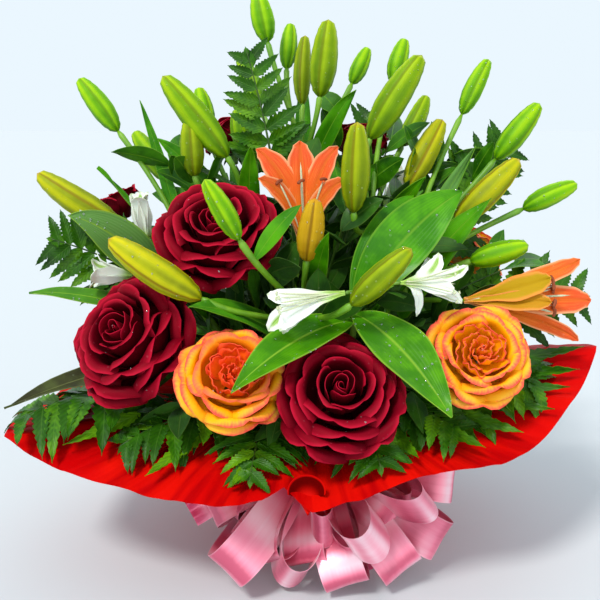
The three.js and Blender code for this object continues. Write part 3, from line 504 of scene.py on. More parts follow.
def wrap_paper():
    s = Shader("red_wrap_paper", Specular_IOR_Level=0.03)
    fibres = s.mottle(420, 4)
    creases = s.mottle(14, 2)
    across, along = s.across_and_along()
    flat = s.shade()
    pleats = s.grain(across * 44, along * 2.2, 1.0) * (1 - flat)
    # Painted light and shade: broad lighter and darker patches that follow the creases.
    painted_light = s.blend(creases.step(0.3, 0.7), (0.52, 0.0, 0.001), (0.68, 0.004, 0.001))
    # Painted shade in the pleats: darker where they fold in, though not on the curl.
    tone = s.blend((1 - pleats.step(0.34, 0.56)) * (1 - flat), painted_light, (0.4, 0.0, 0.001))
    # Painted shade inside the curl: darker from partway up to just below its rim.
    tone = s.blend(flat * along.step(0.3, 0.75) * (1 - along.step(0.93, 0.97)), tone, (0.1, 0.0, 0.0))
    s.bump(fibres * 0.03 + pleats * 1.2 + creases, 0.7, 6)
    return s.paint(s.blend(fibres * 0.12, tone, (0.66, 0.006, 0.004)), fibres * 0.1 + 0.42)


def satin():
    s = Shader("pink_satin", Metallic=0.2, Specular_IOR_Level=0.6, Coat_Weight=0.2, Coat_Roughness=0.3)
    across, along = s.across_and_along()
    weave = (across * 260).sine() * (along * 900).sine()
    edge = across.size().step(0.93, 0.98)
    # Painted sheen: bands across the ribbon from deep pink to near white, in place of the light on the satin.
    painted_sheen = s.grain(across * 0.12, along * 8, 1.5, 0.0)
    pulled = s.grain(across * 3, along * 2, 2.0)
    tone = s.ramp(
        painted_sheen * 0.9 + pulled * 0.1,
        (0.34, (0.6, 0.09, 0.17)), (0.46, (0.84, 0.2, 0.31)),
        (0.56, (0.92, 0.35, 0.46)), (0.7, (1.0, 0.68, 0.76)),
    )
    # Painted shade in the gathers: deeper pink towards the gathered ends of each strip; the same mask raises
    # its wrinkles.
    gathered = 1 - along.step(0.02, 0.3) * (1 - along.step(0.7, 0.98))
    deep = s.blend(gathered * (pulled * 0.6 + 0.4), tone, (0.72, 0.06, 0.19))
    s.bump(weave * 0.05 + edge * 0.4 + pulled * 1.5 * gathered, 0.35, 0.8)
    return s.paint(s.blend(edge * 0.3, deep, (0.85, 0.5, 0.58)), 0.3)


def twine():
    s = Shader("jute_twine")
    strands = s.mottle(600, 3, stretch=(1, 1, 4))
    s.bump(strands, 0.6, 0.4)
    return s.paint(s.blend(strands, (0.3, 0.22, 0.11), (0.62, 0.5, 0.3)), 0.85)


def water():
    return Shader("water_drop", Transmission_Weight=0.85, IOR=1.4, Roughness=0.04).paint((0.95, 1.0, 1.0))


def pollen(name, colour):
    s = Shader(name)
    grains = s.mottle(900, 2)
    s.bump(grains, 0.5, 0.3)
    return s.paint(s.blend(grains, colour, tuple(c * 0.5 for c in colour)), 0.7)


RED_ROSE = red_rose_velvet()
ORANGE_ROSE = orange_rose_petal()
LILY_PETAL = lily_petal()
WHITE_PETAL = white_petal()
LILY_LEAF, ROSE_LEAF, DARK_LEAF, SPRIG_LEAF, ALSTROEMERIA_LEAF = (glossy_leaf(*look) for look in (
    ("lily_leaf", (0.08, 0.32, 0.001), (0.03, 0.175, 0.001), (0.13, 0.3, 0.012), 0.3),
    ("rose_leaf", (0.03, 0.12, 0.003), (0.008, 0.045, 0.002), (0.06, 0.12, 0.015), 0.4),
    ("dark_leaf", (0.07, 0.09, 0.02), (0.03, 0.03, 0.01), (0.14, 0.16, 0.05), 0.35),
    ("sprig_leaf", (0.06, 0.25, 0.002), (0.015, 0.09, 0.002), (0.15, 0.34, 0.015), 0.3),
    ("alstroemeria_leaf", (0.085, 0.3, 0.001), (0.035, 0.17, 0.001), (0.24, 0.42, 0.03), 0.3),
))
FERN_LEAF = fern_leaf()
LILY_BUD = lily_bud()
ROSE_STEM, LILY_STEM, ALSTROEMERIA_STEM, FERN_STEM = (stem_skin(*look) for look in (
    ("rose_stem", (0.07, 0.16, 0.012), (0.03, 0.08, 0.006)),
    ("lily_stem", (0.19, 0.4, 0.01), (0.1, 0.27, 0.006)),
    ("alstroemeria_stem", (0.17, 0.34, 0.02), (0.08, 0.2, 0.01)),
    ("fern_stem", (0.06, 0.14, 0.01), (0.02, 0.06, 0.005)),
))
PAPER = wrap_paper()
SATIN = satin()
TWINE = twine()
WATER = water()
ANTHER = pollen("lily_anther", (0.32, 0.06, 0.01))
FILAMENT = pollen("filament", (0.75, 0.8, 0.5))


# Stems

BINDING_Z = 93
CUT_BELOW = 0.1
BINDING_BAND = 1.6
STEM_R = {"rose": 3.4, "lily": 4.0, "alstroemeria": 2.6, "fern": 1.8}


def middle_of(corners):
    return sum(corners, Vector()) / len(corners)


def stem_way(node, head, arrive, lift=60):
    """A stem's way, as its solid takes it: its cut end and its place in the binding, then its head."""
    corners = [v.co / MM for v in bpy.data.objects[node].data.vertices]
    foot = middle_of([c for c in corners if c.z < CUT_BELOW])
    waist = middle_of([c for c in corners if abs(c.z - BINDING_Z) < BINDING_BAND])
    waist += (foot - waist) * ((waist.z - BINDING_Z) / BINDING_Z)
    rise = (waist - foot) / BINDING_Z
    reach = (head - waist).length
    upper = Bezier([waist, waist + rise * min(lift, reach * 0.6), head - arrive * reach * 0.35, head])
    low = [foot.lerp(waist, i / 4) for i in range(4)]
    return Curve(low + [upper.at(i / 10) for i in range(11)]), upper


def around(r, azimuth, z):
    a = radians(azimuth)
    return Vector((r * sin(a), -r * cos(a), z))


# Leaves


# The middle and reach of the room that the open lily takes, and a rose's reach as a share of its width
LILY_ROOM = ((3, -62, 338), 38)
ROSE_REACH = 0.52


def clear_of_blooms(*points):
    """Whether points lie outside every rose and the open lily at the middle."""
    rooms = [(at, ROSE_REACH * width) for _, at, _, width, *_ in ROSES] + [LILY_ROOM]
    return all((Vector(point) - Vector(middle)).length > reach for middle, reach in rooms for point in points)


def leaf(
    root, tip, width, face=UP, shade=0.0, arch=12, seed=0,
    fold=0.16, broadest=0.42, ripple=0.03, grid=(8, 18),
):
    """A blade from root to tip, folded along its rib, with a gentle wave along its edges."""
    root, tip, face = Vector(root), Vector(tip), Vector(face).normalized()
    long = (tip - root).length
    bend = root.lerp(tip, 0.5) + UP * arch * 2
    rib = Bezier([root, root.lerp(bend, 0.7), bend.lerp(tip, 0.45), tip])
    power = log(0.5) / log(broadest)

    def place(u, t):
        _, side, normal = rib.axes(t, face)
        half = (width / 2) * sin(pi * clamp(t, 0.015, 0.998) ** power) ** 0.9
        lift = half * fold * abs(u) ** 1.3 + long * ripple * wave(seed, t * 3.2, u) * abs(u)
        twist = 0.22 * wave(seed + 9, t * 1.3) * u * half
        return rib.at(t) + side * (half * u) + normal * (lift + twist)

    return shaped(*grid, place, shade)


# Ferns

PINNA_OUTLINE = [(0, 0.5), (0.1, 1.0), (0.45, 0.8), (0.8, 0.42), (1, 0.0)]
LAST_PINNA = 0.84


def pinna(root, reach, normal, width, shade, seed, droop, lobes=8):
    """One leaflet of a frond: a long triangle with saw teeth that lean towards its tip."""
    long = reach.length
    ahead = reach / long
    across = ahead.cross(normal).normalized()

    def place(u, t):
        tooth = (lobes * t) % 1.0
        lobe = 1.0 - tooth**1.6 if 0 < t < 1 else 0.6
        half = width / 2 * table_at(PINNA_OUTLINE, t) * mix(0.6, 1.0, lobe)
        sag = -droop * long * t * t + long * 0.04 * wave(seed, t * 2.4, u * 0.8)
        lean = half * 0.7 * abs(u) * (1 - t)
        return root + ahead * (long * t + lean) + across * (half * u) + normal * (sag + 0.2 * half * abs(u))

    return shaped(4, lobes * 4, place, shade)


def frond(name, root, bend, tip, face, spread, lift, sag=0.16, pairs=9):
    """A frond with its stem: lobed leaflets in pairs along the rib, the longest near its foot."""
    rib = bow_of_three(root, bend, tip)
    way, _ = stem_way(name, Vector(root), rib.along(0), lift)
    long = rib.length(12)
    leaflets = []
    for i in range(pairs):
        share = 0.04 + 0.86 * i / (pairs - 1)
        ahead, side, normal = rib.axes(share, face)
        size = long * spread * (1 - 0.58 * share**1.6)
        for way_side in (1, -1):
            lean = mix(0.4, 0.6, share) + random.uniform(-0.2, 0.2)
            reach = (side * way_side * 0.9 + ahead * lean).normalized()
            reach = reach * size * random.uniform(0.8, 1.12) + normal * size * random.uniform(-0.25, 0.25)
            shade = clamp(0.4 + 0.6 * wave(i, way_side * 2.3) + random.uniform(-0.2, 0.3))
            breadth = max(size * 0.4, 12)
            leaflets.append(pinna(rib.at(share), reach, normal, breadth, shade, random.random() * 50, sag))
    last, (_, _, normal) = rib.at(LAST_PINNA), rib.axes(LAST_PINNA, face)
    leaflets.append(pinna(last, (Vector(tip) - last) * 1.05, normal, long * 0.13, 0.6, 3, sag))
    piece(name + "_leaflets", leaflets, FERN_LEAF, [name], thick=0.5)
    ribs = [tube(rib, lambda t: mix(1.3, 0.5, t), 6, 14), tube(way, STEM_R["fern"], 6, 18)]
    piece(name + "_rib", ribs, FERN_STEM, [name], weld=True)


# Roses

# A row of petals: how many, half the arc that each takes, its middle line out and up, how far
# it winds inwards, how far down its sides roll back, and its ruffle.
RED_ROWS = [
    (1, 185, [(1.2, 20), (3.4, 36), (2.6, 47)], 1.8, 0.0, 0.4),
    (2, 112, [(3, 16), (6.8, 34), (6.2, 48.5)], 2.2, 0.0, 0.6),
    (3, 84, [(4, 13), (10.8, 31), (11, 47.5)], 2.6, 0.0, 0.8),
    (3, 80, [(5, 10), (16, 28), (17.4, 45), (18.6, 46.5)], 3.0, 0.08, 1.0),
    (4, 62, [(6, 8), (23.5, 23), (26, 41), (28.5, 45.5)], 2.6, 0.2, 1.5),
    (5, 53, [(6, 6), (28, 17), (32.5, 35), (37, 41.5)], 2.4, 0.28, 1.8),
    (5, 51, [(6, 4), (32, 12), (38, 28), (43, 35)], 2.2, 0.34, 2.0),
    (5, 49, [(6, 2), (33, 7), (42, 20), (48, 28)], 2.0, 0.38, 2.2),
]
ORANGE_ROWS = [
    (3, 70, [(1, 24), (4, 40), (3, 47)], 2.0, 0.0, 3.4),
    (5, 46, [(3, 21), (9, 38), (9.5, 47)], 3.0, 0.0, 4.6),
    (6, 38, [(4, 18), (15, 35), (16.5, 47)], 3.6, 0.0, 4.8),
    (6, 36, [(5, 14), (20.5, 31), (23, 45)], 3.6, 0.08, 4.2),
    (4, 62, [(6, 9), (26, 23), (29, 41), (31, 45)], 3.0, 0.2, 2.4),
    (4, 60, [(6, 6), (30, 16), (34, 34), (37.5, 41)], 2.8, 0.32, 2.0),
    (4, 58, [(6, 4), (33, 10), (40, 27), (45, 34)], 2.4, 0.36, 2.0),
    (3, 66, [(6, 2), (32, 6), (42, 18), (47, 25)], 2.0, 0.36, 2.2),
]
# The width that the rows are drawn for, and how far below a bloom's place its petals spring, and its
# calyx below those
DRAWN_WIDTH = 92
BLOOM_FOOT, CALYX_FOOT = 25, 18.3
CALYX_CUP = [(0, 0), (3.4, 1), (4.2, 6), (6.8, 11), (7.2, 15), (5.5, 18), (0, 18.2)]
LIP_ROLL_R, LIP_TURN_MOST = 4.6, 2.8
# How far a lip's corners drop, and the roll at which it comes to a soft point
LIP_DROP, FULL_ROLL = 0.34, 0.34
# The tone at the heart of the roses on the right
RIGHT_TONE = 0.52


def rose_petal(turn, half_span, profile, winding, rolled, ruffle, seed):
    """One petal: narrow at its foot, its lip rounded, or pointed where its sides roll back."""
    lean = random.uniform(-1.5, 1.5)
    tall = sum(dist(a, b) for a, b in zip(profile, profile[1:]))
    bow = random.uniform(-0.08, 0.08)

    def cupped(u, t):
        height = t * (1 - LIP_DROP * abs(u) ** mix(3.2, 1.5, clamp(rolled / FULL_ROLL)))
        r, z = through(profile, height)
        breadth = mix(0.36, 1.0, smooth(0.0, 0.6, t)) * (1 - 0.1 * smooth(0.75, 1.0, t))
        angle = radians(turn + (u + bow * t) * half_span * breadth)
        r += winding * u * height + lean * t
        r += ruffle * wave(seed, u * 2.4, t * 1.8) * smooth(0.2, 1.0, t)
        z += ruffle * 0.7 * wave(seed + 4, u * 2.8, t) * smooth(0.6, 1.0, t)
        return Vector((r * cos(angle), r * sin(angle), z))

    def place(u, t):
        start = clamp(1.0 - rolled * abs(u) ** 0.8 * 1.15 - rolled * 0.12, 0.2, 1.0)
        if t <= start:
            return cupped(u, t)
        hinge = cupped(u, start)
        ahead = (hinge - cupped(u, start - 0.03)).normalized()
        out = Vector((hinge.x, hinge.y, 0)).normalized()
        out = (out - ahead * out.dot(ahead)).normalized()
        angle = min((t - start) * tall / LIP_ROLL_R, LIP_TURN_MOST)
        return hinge + (ahead * sin(angle) + out * (1 - cos(angle))) * LIP_ROLL_R

    return place


def rose_foot(at, faces, width):
    """A rose's scale, its axis and the point where its petals spring."""
    scale, axis = width / DRAWN_WIDTH, Vector(faces).normalized()
    return scale, axis, Vector(at) - axis * BLOOM_FOOT * scale


def rose(name, at, faces, width, rows):
    """A bloom of whorled petals, seated on its calyx where its solid is."""
    scale, axis, foot = rose_foot(at, faces, width)
    swing = UP.rotation_difference(axis) @ Quaternion(UP, random.uniform(0, 2 * pi))
    orange = "orange" in name
    whorls = (ORANGE_ROWS if orange else RED_ROWS)[:rows]
    petals = []
    for layer, (count, half_span, profile, winding, rolled, ruffle) in enumerate(whorls):
        start = layer * 51 + random.uniform(-10, 10)
        for i in range(count):
            turn = start + 360 * i / count + random.uniform(-7, 7)
            shape = rose_petal(turn, half_span, profile, winding, rolled, ruffle, random.random() * 60)
            grow = scale * random.uniform(0.96, 1.04)
            tone = mix(RIGHT_TONE if name.endswith("right") else 0, 1, layer / (len(whorls) - 1))
            petals.append(shaped(16, 14, lambda u, t: foot + swing @ (shape(u, t) * grow), tone))
    material, slot = (ORANGE_ROSE, "orange_petal") if orange else (RED_ROSE, "red_petal")
    return piece(name + "_petals", petals, material, [name + "_bloom"], thick=0.45, angle=70)


def rose_stem(name, at, faces, width, lift):
    """The stem under a bloom, with the cup of its calyx and five sepals."""
    scale, axis, foot = rose_foot(at, faces, width)
    neck = foot - axis * CALYX_FOOT * scale
    way, _ = stem_way(name + "_stem", neck, axis, lift)
    swing = UP.rotation_difference(axis)

    def hip(u, t):
        r, z = through(CALYX_CUP, t)
        return neck + swing @ (Vector((cos(pi * u), sin(pi * u), 0)) * r + UP * z) * scale

    meshes = [tube(way, STEM_R["rose"], 10, 30), shaped(14, 14, hip)]
    piece(name + "_stem", meshes, ROSE_STEM, [name + "_stem"], weld=True)
    sepals = []
    for i in range(5):
        a = i / 5 * 2 * pi
        out = Vector((cos(a), sin(a), 0))
        root = neck + swing @ (out * 5 + UP * 13.5) * scale
        tip = neck + swing @ (out * 25 + UP * random.uniform(2, 10)) * scale
        sepals.append(leaf(root, tip, 9 * scale, axis, 0, 3, i, 0.2, 0.25, 0.02))
    piece(name + "_sepals", sepals, ROSE_LEAF, [name + "_stem"], thick=0.6)


# Lilies

# How wide a bud or petal is, as a share of its full width, at each share of its length
BUD_PROFILE = [
    (0, 0.0), (0.03, 0.3), (0.1, 0.6), (0.22, 0.86), (0.38, 1.0), (0.55, 0.98), (0.72, 0.87),
    (0.86, 0.69), (0.95, 0.48), (0.985, 0.3), (1, 0.0),
]
EVEN_OUTLINE = [(0, 0.2), (0.25, 0.66), (0.5, 1.0), (0.78, 0.8), (0.94, 0.42), (1, 0.06)]
FLARED_OUTLINE = [(0, 0.2), (0.2, 0.5), (0.5, 1.0), (0.75, 0.88), (0.92, 0.48), (1, 0.04)]
# The middle line of an even petal, out from the flower's axis and along it
EVEN_LINE = [(0.035, 0.0), (0.1, 0.22), (0.2, 0.5), (0.33, 0.78), (0.5, 0.96)]
EVEN_OPENINGS = (1.12, 0.84) * 3
STAMENS = 6


def bud(base, tip, width, shade):
    """A closed lily bud: three broad sides between three grooves, blunt at its tip."""
    base, tip = Vector(base), Vector(tip)
    axis = tip - base
    side = axis.orthogonal().normalized()
    side = Quaternion(axis.normalized(), random.uniform(0, 6.28)) @ side
    other = axis.normalized().cross(side)
    lean = random.uniform(-0.02, 0.03)

    def place(u, t):
        a = pi * u
        r = width / 2 * table_at(BUD_PROFILE, t)
        seam = abs(sin(1.5 * a))
        r *= 1.0 - 0.13 * exp(-((seam / 0.22) ** 2)) + 0.03 * cos(6 * a)
        bow = side * (axis.length * (lean * sin(pi * t)))
        return base + axis * t + bow + side * (r * cos(a)) + other * (r * sin(a))

    return shaped(30, 22, place, shade)


def even_petal(foot, swing, long, width, azimuth, spread, seed, recurve):
    """One petal of an even flower, grooved along its middle."""
    tall = sqrt(max(1.17 - (0.5 * spread) ** 2, 0.1))
    out = Vector((cos(azimuth), sin(azimuth), 0))
    side = Vector((-sin(azimuth), cos(azimuth), 0))

    def place(u, t):
        r, z = through(EVEN_LINE, t)
        r = r * long * spread + recurve * long * smooth(0.7, 1.0, t)
        z = z * long * tall - recurve * long * 0.5 * smooth(0.75, 1.0, t)
        half = width / 2 * table_at(EVEN_OUTLINE, t)
        inward = -half * 0.16 * (abs(u) ** 1.6) * (1.4 - t)
        groove = 0.5 * exp(-((u / 0.16) ** 2))
        ripple = long * 0.018 * wave(seed, t * 4, u * 1.5) * abs(u)
        return foot + swing @ (out * (r + inward + groove + ripple) + UP * z + side * (half * u))

    return place


def flared(foot, axis, tip, width, face, tone, seed, hug):
    """A petal that hugs its flower's axis, more or less, and flares out to its tip."""
    foot, tip, face = Vector(foot), Vector(tip), Vector(face).normalized()
    long = (tip - foot).length
    axis = ((tip - foot) / long).lerp(Vector(axis).normalized(), hug).normalized()
    rib = Bezier([foot, foot + axis * long * 0.45, (foot + axis * long * 0.75).lerp(tip, 0.45), tip])

    def place(u, t):
        _, side, normal = rib.axes(t, face)
        half = width / 2 * table_at(FLARED_OUTLINE, t)
        cup = half * (0.34 - 0.3 * t) * abs(u) ** 1.7 - 0.7 * exp(-((u / 0.15) ** 2))
        ripple = long * 0.014 * wave(seed, t * 4, u * 1.5) * abs(u)
        return rib.at(t) + side * (half * u) + normal * (cup + ripple)

    return shaped(14, 28, place, tone)


# Petals placed one by one: where each ends, its width, the way that it faces, and how ochre a lily's is
# or how green the streak of an alstroemeria's
FRONT_PETALS = [
    ((-37, -44, 372), 27, (0.45, -0.85, 0.3), 0.0), ((0, -34, 378), 26, (0, -0.95, 0.3), 0.0),
    ((32, -44, 374), 24, (-0.45, -0.85, 0.3), 0.0), ((-34, -70, 350), 23, (0.9, -0.4, 0.2), 0.1),
    ((37, -72, 349), 22, (-0.8, -0.6, 0.2), 0.1), ((10, -8, 352), 26, (0, -1, 0.4), 0.0),
]
RIGHT_PETALS = [
    ((236, -66, 282), 19, (-0.1, -0.7, 0.7), 0.1), ((248, -66, 246), 26, (0, -0.9, 0.4), 0.0),
    ((238, -72, 212), 14, (0.1, -0.95, -0.1), 0.0), ((205, -92, 272), 22, (0, -0.9, 0.5), 1.0),
    ((206, -96, 252), 17, (0, -0.9, 0.3), 0.8), ((216, -20, 232), 26, (0, 0.3, 0.9), 0.0),
]
CLOSED_PETALS = [
    ((-25, -146, 271), 13, (0, -0.9, 0.4), 0.0), ((-24, -150, 243), 17, (-0.1, -1, 0.2), 1.0),
    ((-13, -140, 238), 14, (0.1, -1, -0.2), 1.0), ((-15, -154, 244), 15, (0, -0.9, 0.4), 0.0),
    ((-16, -136, 268), 11, (0, -0.6, 0.7), 0.0), ((-14, -134, 244), 12, (0, -0.4, -0.9), 1.0),
]
STAR_PETALS = [
    ((111, -100, 294), 15, (-0.3, -0.8, 0.5), 1.0), ((132, -116, 287), 12, (-0.2, -0.8, 0.6), 1.0),
    ((127, -124, 258), 11, (-0.2, -1, 0), 0.0), ((92, -122, 247), 8, (0.3, -1, 0.2), 0.0),
    ((119, -134, 270), 13, (-0.5, -1, 0.4), 0.0), ((104, -88, 288), 12, (-0.2, -0.6, 0.6), 1.0),
]
PLACED_PETALS = {"alstroemeria_bloom_front": CLOSED_PETALS, "alstroemeria_bloom_front_right": STAR_PETALS}


def trumpet(name, foot, faces, long, width, spread, petals=(), lily=False, hug=1.0):
    """An open flower: two whorls of three petals, stamens and a style."""
    foot, axis = Vector(foot), Vector(faces).normalized()
    swing = UP.rotation_difference(axis)
    blades = [flared(foot, faces, *petal, seed=i, hug=hug) for i, petal in enumerate(petals)]
    for i, opening in enumerate(() if petals else EVEN_OPENINGS):
        azimuth, breadth = (i + 0.5) / 6 * 2 * pi, width * (0.85 if i % 2 else 1.0)
        recurve = random.uniform(0.0, 0.08)
        shape = even_petal(foot, swing, long, breadth, azimuth, spread * opening, i, recurve)
        blades.append(shaped(10, 20, shape, i % 2))
    material, slot, thick = (LILY_PETAL, "lily_petal", 0.7) if lily else (WHITE_PETAL, "white_petal", 0.5)
    piece(name + "_petals", blades, material, [name], thick=thick)
    threads, heads = [], []
    thread, size, girth = (0.9, 9, 1.4) if lily else (0.6, 3.5, 0.9)
    for i in range(STAMENS):
        a = i / STAMENS * 2 * pi + 0.5
        out = Vector((cos(a), sin(a), 0)) * long * spread
        line = ((0.02, 0.05), (0.07, 0.4), (0.2, 0.7 if lily else 0.85))
        way = Curve([foot + swing @ (out * r + UP * long * z) for r, z in line])
        threads.append(tube(way, thread, 6, 8))
        end, ahead = way.at(1), way.along(1)
        across = ahead.orthogonal().normalized() * size / 2
        heads.append(tube(Curve([end - across, end + ahead, end + across]), girth, 6, 6))
    threads.append(tube(Curve([foot + axis * long * share for share in (0.05, 0.45, 0.84)]), thread, 6, 8))
    piece(name + "_filaments", threads, FILAMENT, [name], weld=True)
    piece(name + "_anthers", heads, ANTHER if lily else FILAMENT, [name], weld=True)


FORK_PITCH = 5
STALK_SHARE = {"lily": 0.62, "alstroemeria": 0.6}
SPIRAL_TURN = 2.4


def spray(name, kind, branch, buds, leaves, heads, skin, blade, slot, small):
    """A stem that branches at its top, with a stalk to each bud or flower, and its leaves."""
    fork = Vector(branch)
    way, upper = stem_way(name, fork, UP)
    stalks = [tube(way, STEM_R[kind], 10, 34)]
    ends = [(Vector(base), (Vector(tip) - Vector(base)).normalized()) for base, tip, *_ in buds]
    ends += [(Vector(head[0]), Vector(head[1]).normalized()) for head in heads]
    radius = STEM_R[kind] * STALK_SHARE[kind]
    for i, (base, arrive) in enumerate(ends):
        low = fork - UP * (2 + FORK_PITCH * i)
        reach = (base - low).length
        flare, sunk = (1.25, 6) if i < len(buds) else (1.0, 1.5)
        path = Bezier([low, low + UP * reach * 0.3, base - arrive * reach * 0.35, base + arrive * sunk])
        stalks.append(tube(path, lambda t: radius * mix(1.0, flare, smooth(0.75, 1.0, t)), 8, 16))
    piece(name + "_stems", stalks, skin, [name], weld=True)
    blades = []
    for i, (root, tip, width, *look) in enumerate(leaves):
        root = upper_share(upper, root) if isinstance(root, float) else root
        blades.append(leaf(root, tip, width, *look, seed=i + len(name), grid=(12, 28)))
    for i in range(small):
        share = random.uniform(0.35, 0.95)
        root, ahead = upper.at(share), upper.along(share)
        side = Quaternion(ahead, i * SPIRAL_TURN) @ ahead.orthogonal().normalized()
        out = (side * random.uniform(0.5, 0.9) + ahead).normalized()
        long, outwards = random.uniform(50, 85), Vector((root.x, root.y, 60)).normalized()
        width, tone = random.uniform(11, 17), random.uniform(0, 0.5)
        if clear_of_blooms(root, root + out * long * 0.5, root + out * long):
            blades.append(leaf(root, root + out * long, width, outwards, tone, 6, i))
    piece(name + "_leaves", blades, blade, [name], thick=0.6)
    if buds:
        closed = [bud(base, tip, width, look[0] if look else 0.2) for base, tip, width, *look in buds]
        piece(name + "_buds", closed, LILY_BUD, [name], weld=True)


def upper_share(upper, share):
    """The point at a share of the whole stem's length, which falls above its binding."""
    high = upper.length(16)
    return upper.at(clamp((share * (BINDING_Z + high) - BINDING_Z) / high))


# Ribbon

BAND_R = 30.6
KNOT_OUT, KNOT_AZIMUTH = 8.6, 22
KNOT = around(BAND_R + KNOT_OUT, KNOT_AZIMUTH, BINDING_Z)
KNOT_R = Vector((13, 8, 11))
RIBBON_WIDTH = 38
LOOP_FOOT = 8
BOW_FACE = Vector((0, -1, 0.25))


def ribbon(path, across, width_at, steps, shade):
    """A strip of satin along a path, with a faint hollow along its middle."""

    def place(u, t):
        ahead = heading(path, t)
        flat = (across - ahead * across.dot(ahead)).normalized()
        normal = ahead.cross(flat).normalized()
        half = width_at(t) / 2
        pinch = smooth(0.0, 0.35, min(t, 1 - t) * 2)
        folds = (1 - pinch) * 2.4 * cos(u * 7) + 0.5 * pinch * cos(u * 2.6 + shade)
        return path(t) + flat * (half * u) + normal * folds

    return shaped(16, steps, place, shade)


def bow_loop(end, opening, roll, shade):
    """One loop: out from the knot, round its end and back."""
    out = (Vector(end) - KNOT).normalized()
    foot = KNOT + out * LOOP_FOOT
    reach = Vector(end) - foot
    across = Quaternion(out, radians(roll)) @ out.cross(BOW_FACE).normalized()
    height = across.cross(out).normalized()

    def path(t):
        a = 2 * pi * t
        far = (1 - cos(a)) / 2
        return foot + reach * far + height * ((opening / 2) * 1.5 * sin(a) * far**0.9)

    def width_at(t):
        return mix(RIBBON_WIDTH * 0.42, RIBBON_WIDTH, smooth(0.0, 0.8, sin(pi * t) ** 1.2))

    return ribbon(path, across, width_at, 44, shade)


def bow_tail(end, shade):
    """A loose end: out from the knot over a low arch."""
    out = (Vector(end) - KNOT).normalized()
    foot = KNOT + out * LOOP_FOOT
    across = out.cross(BOW_FACE).normalized()
    path = Curve([foot, foot.lerp(Vector(end), 0.5) + UP * 8, Vector(end)])
    return ribbon(path.at, across, lambda t: RIBBON_WIDTH * mix(0.3, 0.8, smooth(0, 0.5, t)), 20, shade)


# What the bouquet holds

# Name, place, the way that it faces, width, how far its stem rises straight, and rows of petals
ROSES = [
    ("rose_red_front", (31, -146, 190), (0.05, -0.72, 0.69), 96, 60, 8),
    ("rose_red_left", (-140, -94, 220), (-0.45, -0.65, 0.61), 102, 60, 8),
    ("rose_red_upper", (-67, -80, 306), (-0.1, -0.6, 0.79), 96, 60, 8),
    ("rose_orange_front", (-53, -142, 203), (0.14, -0.7, 0.7), 80, 60, 8),
    ("rose_orange_right", (143, -117, 214), (0.05, -0.83, 0.56), 78, 95, 8),
    ("rose_red_far_left", (-174, 58, 308), (-0.45, 0.1, 0.88), 62, 95, 5),
    ("rose_red_top_left", (-68, 88, 372), (-0.2, 0.45, 0.87), 58, 60, 7),
    ("rose_red_top_right", (58, 84, 370), (0.05, 0.3, 0.95), 58, 60, 7),
    ("rose_red_back", (15, 158, 240), (0, 0.75, 0.66), 88, 60, 8),
    ("rose_orange_back_right", (176, 100, 252), (0.6, 0.5, 0.62), 70, 60, 8),
]

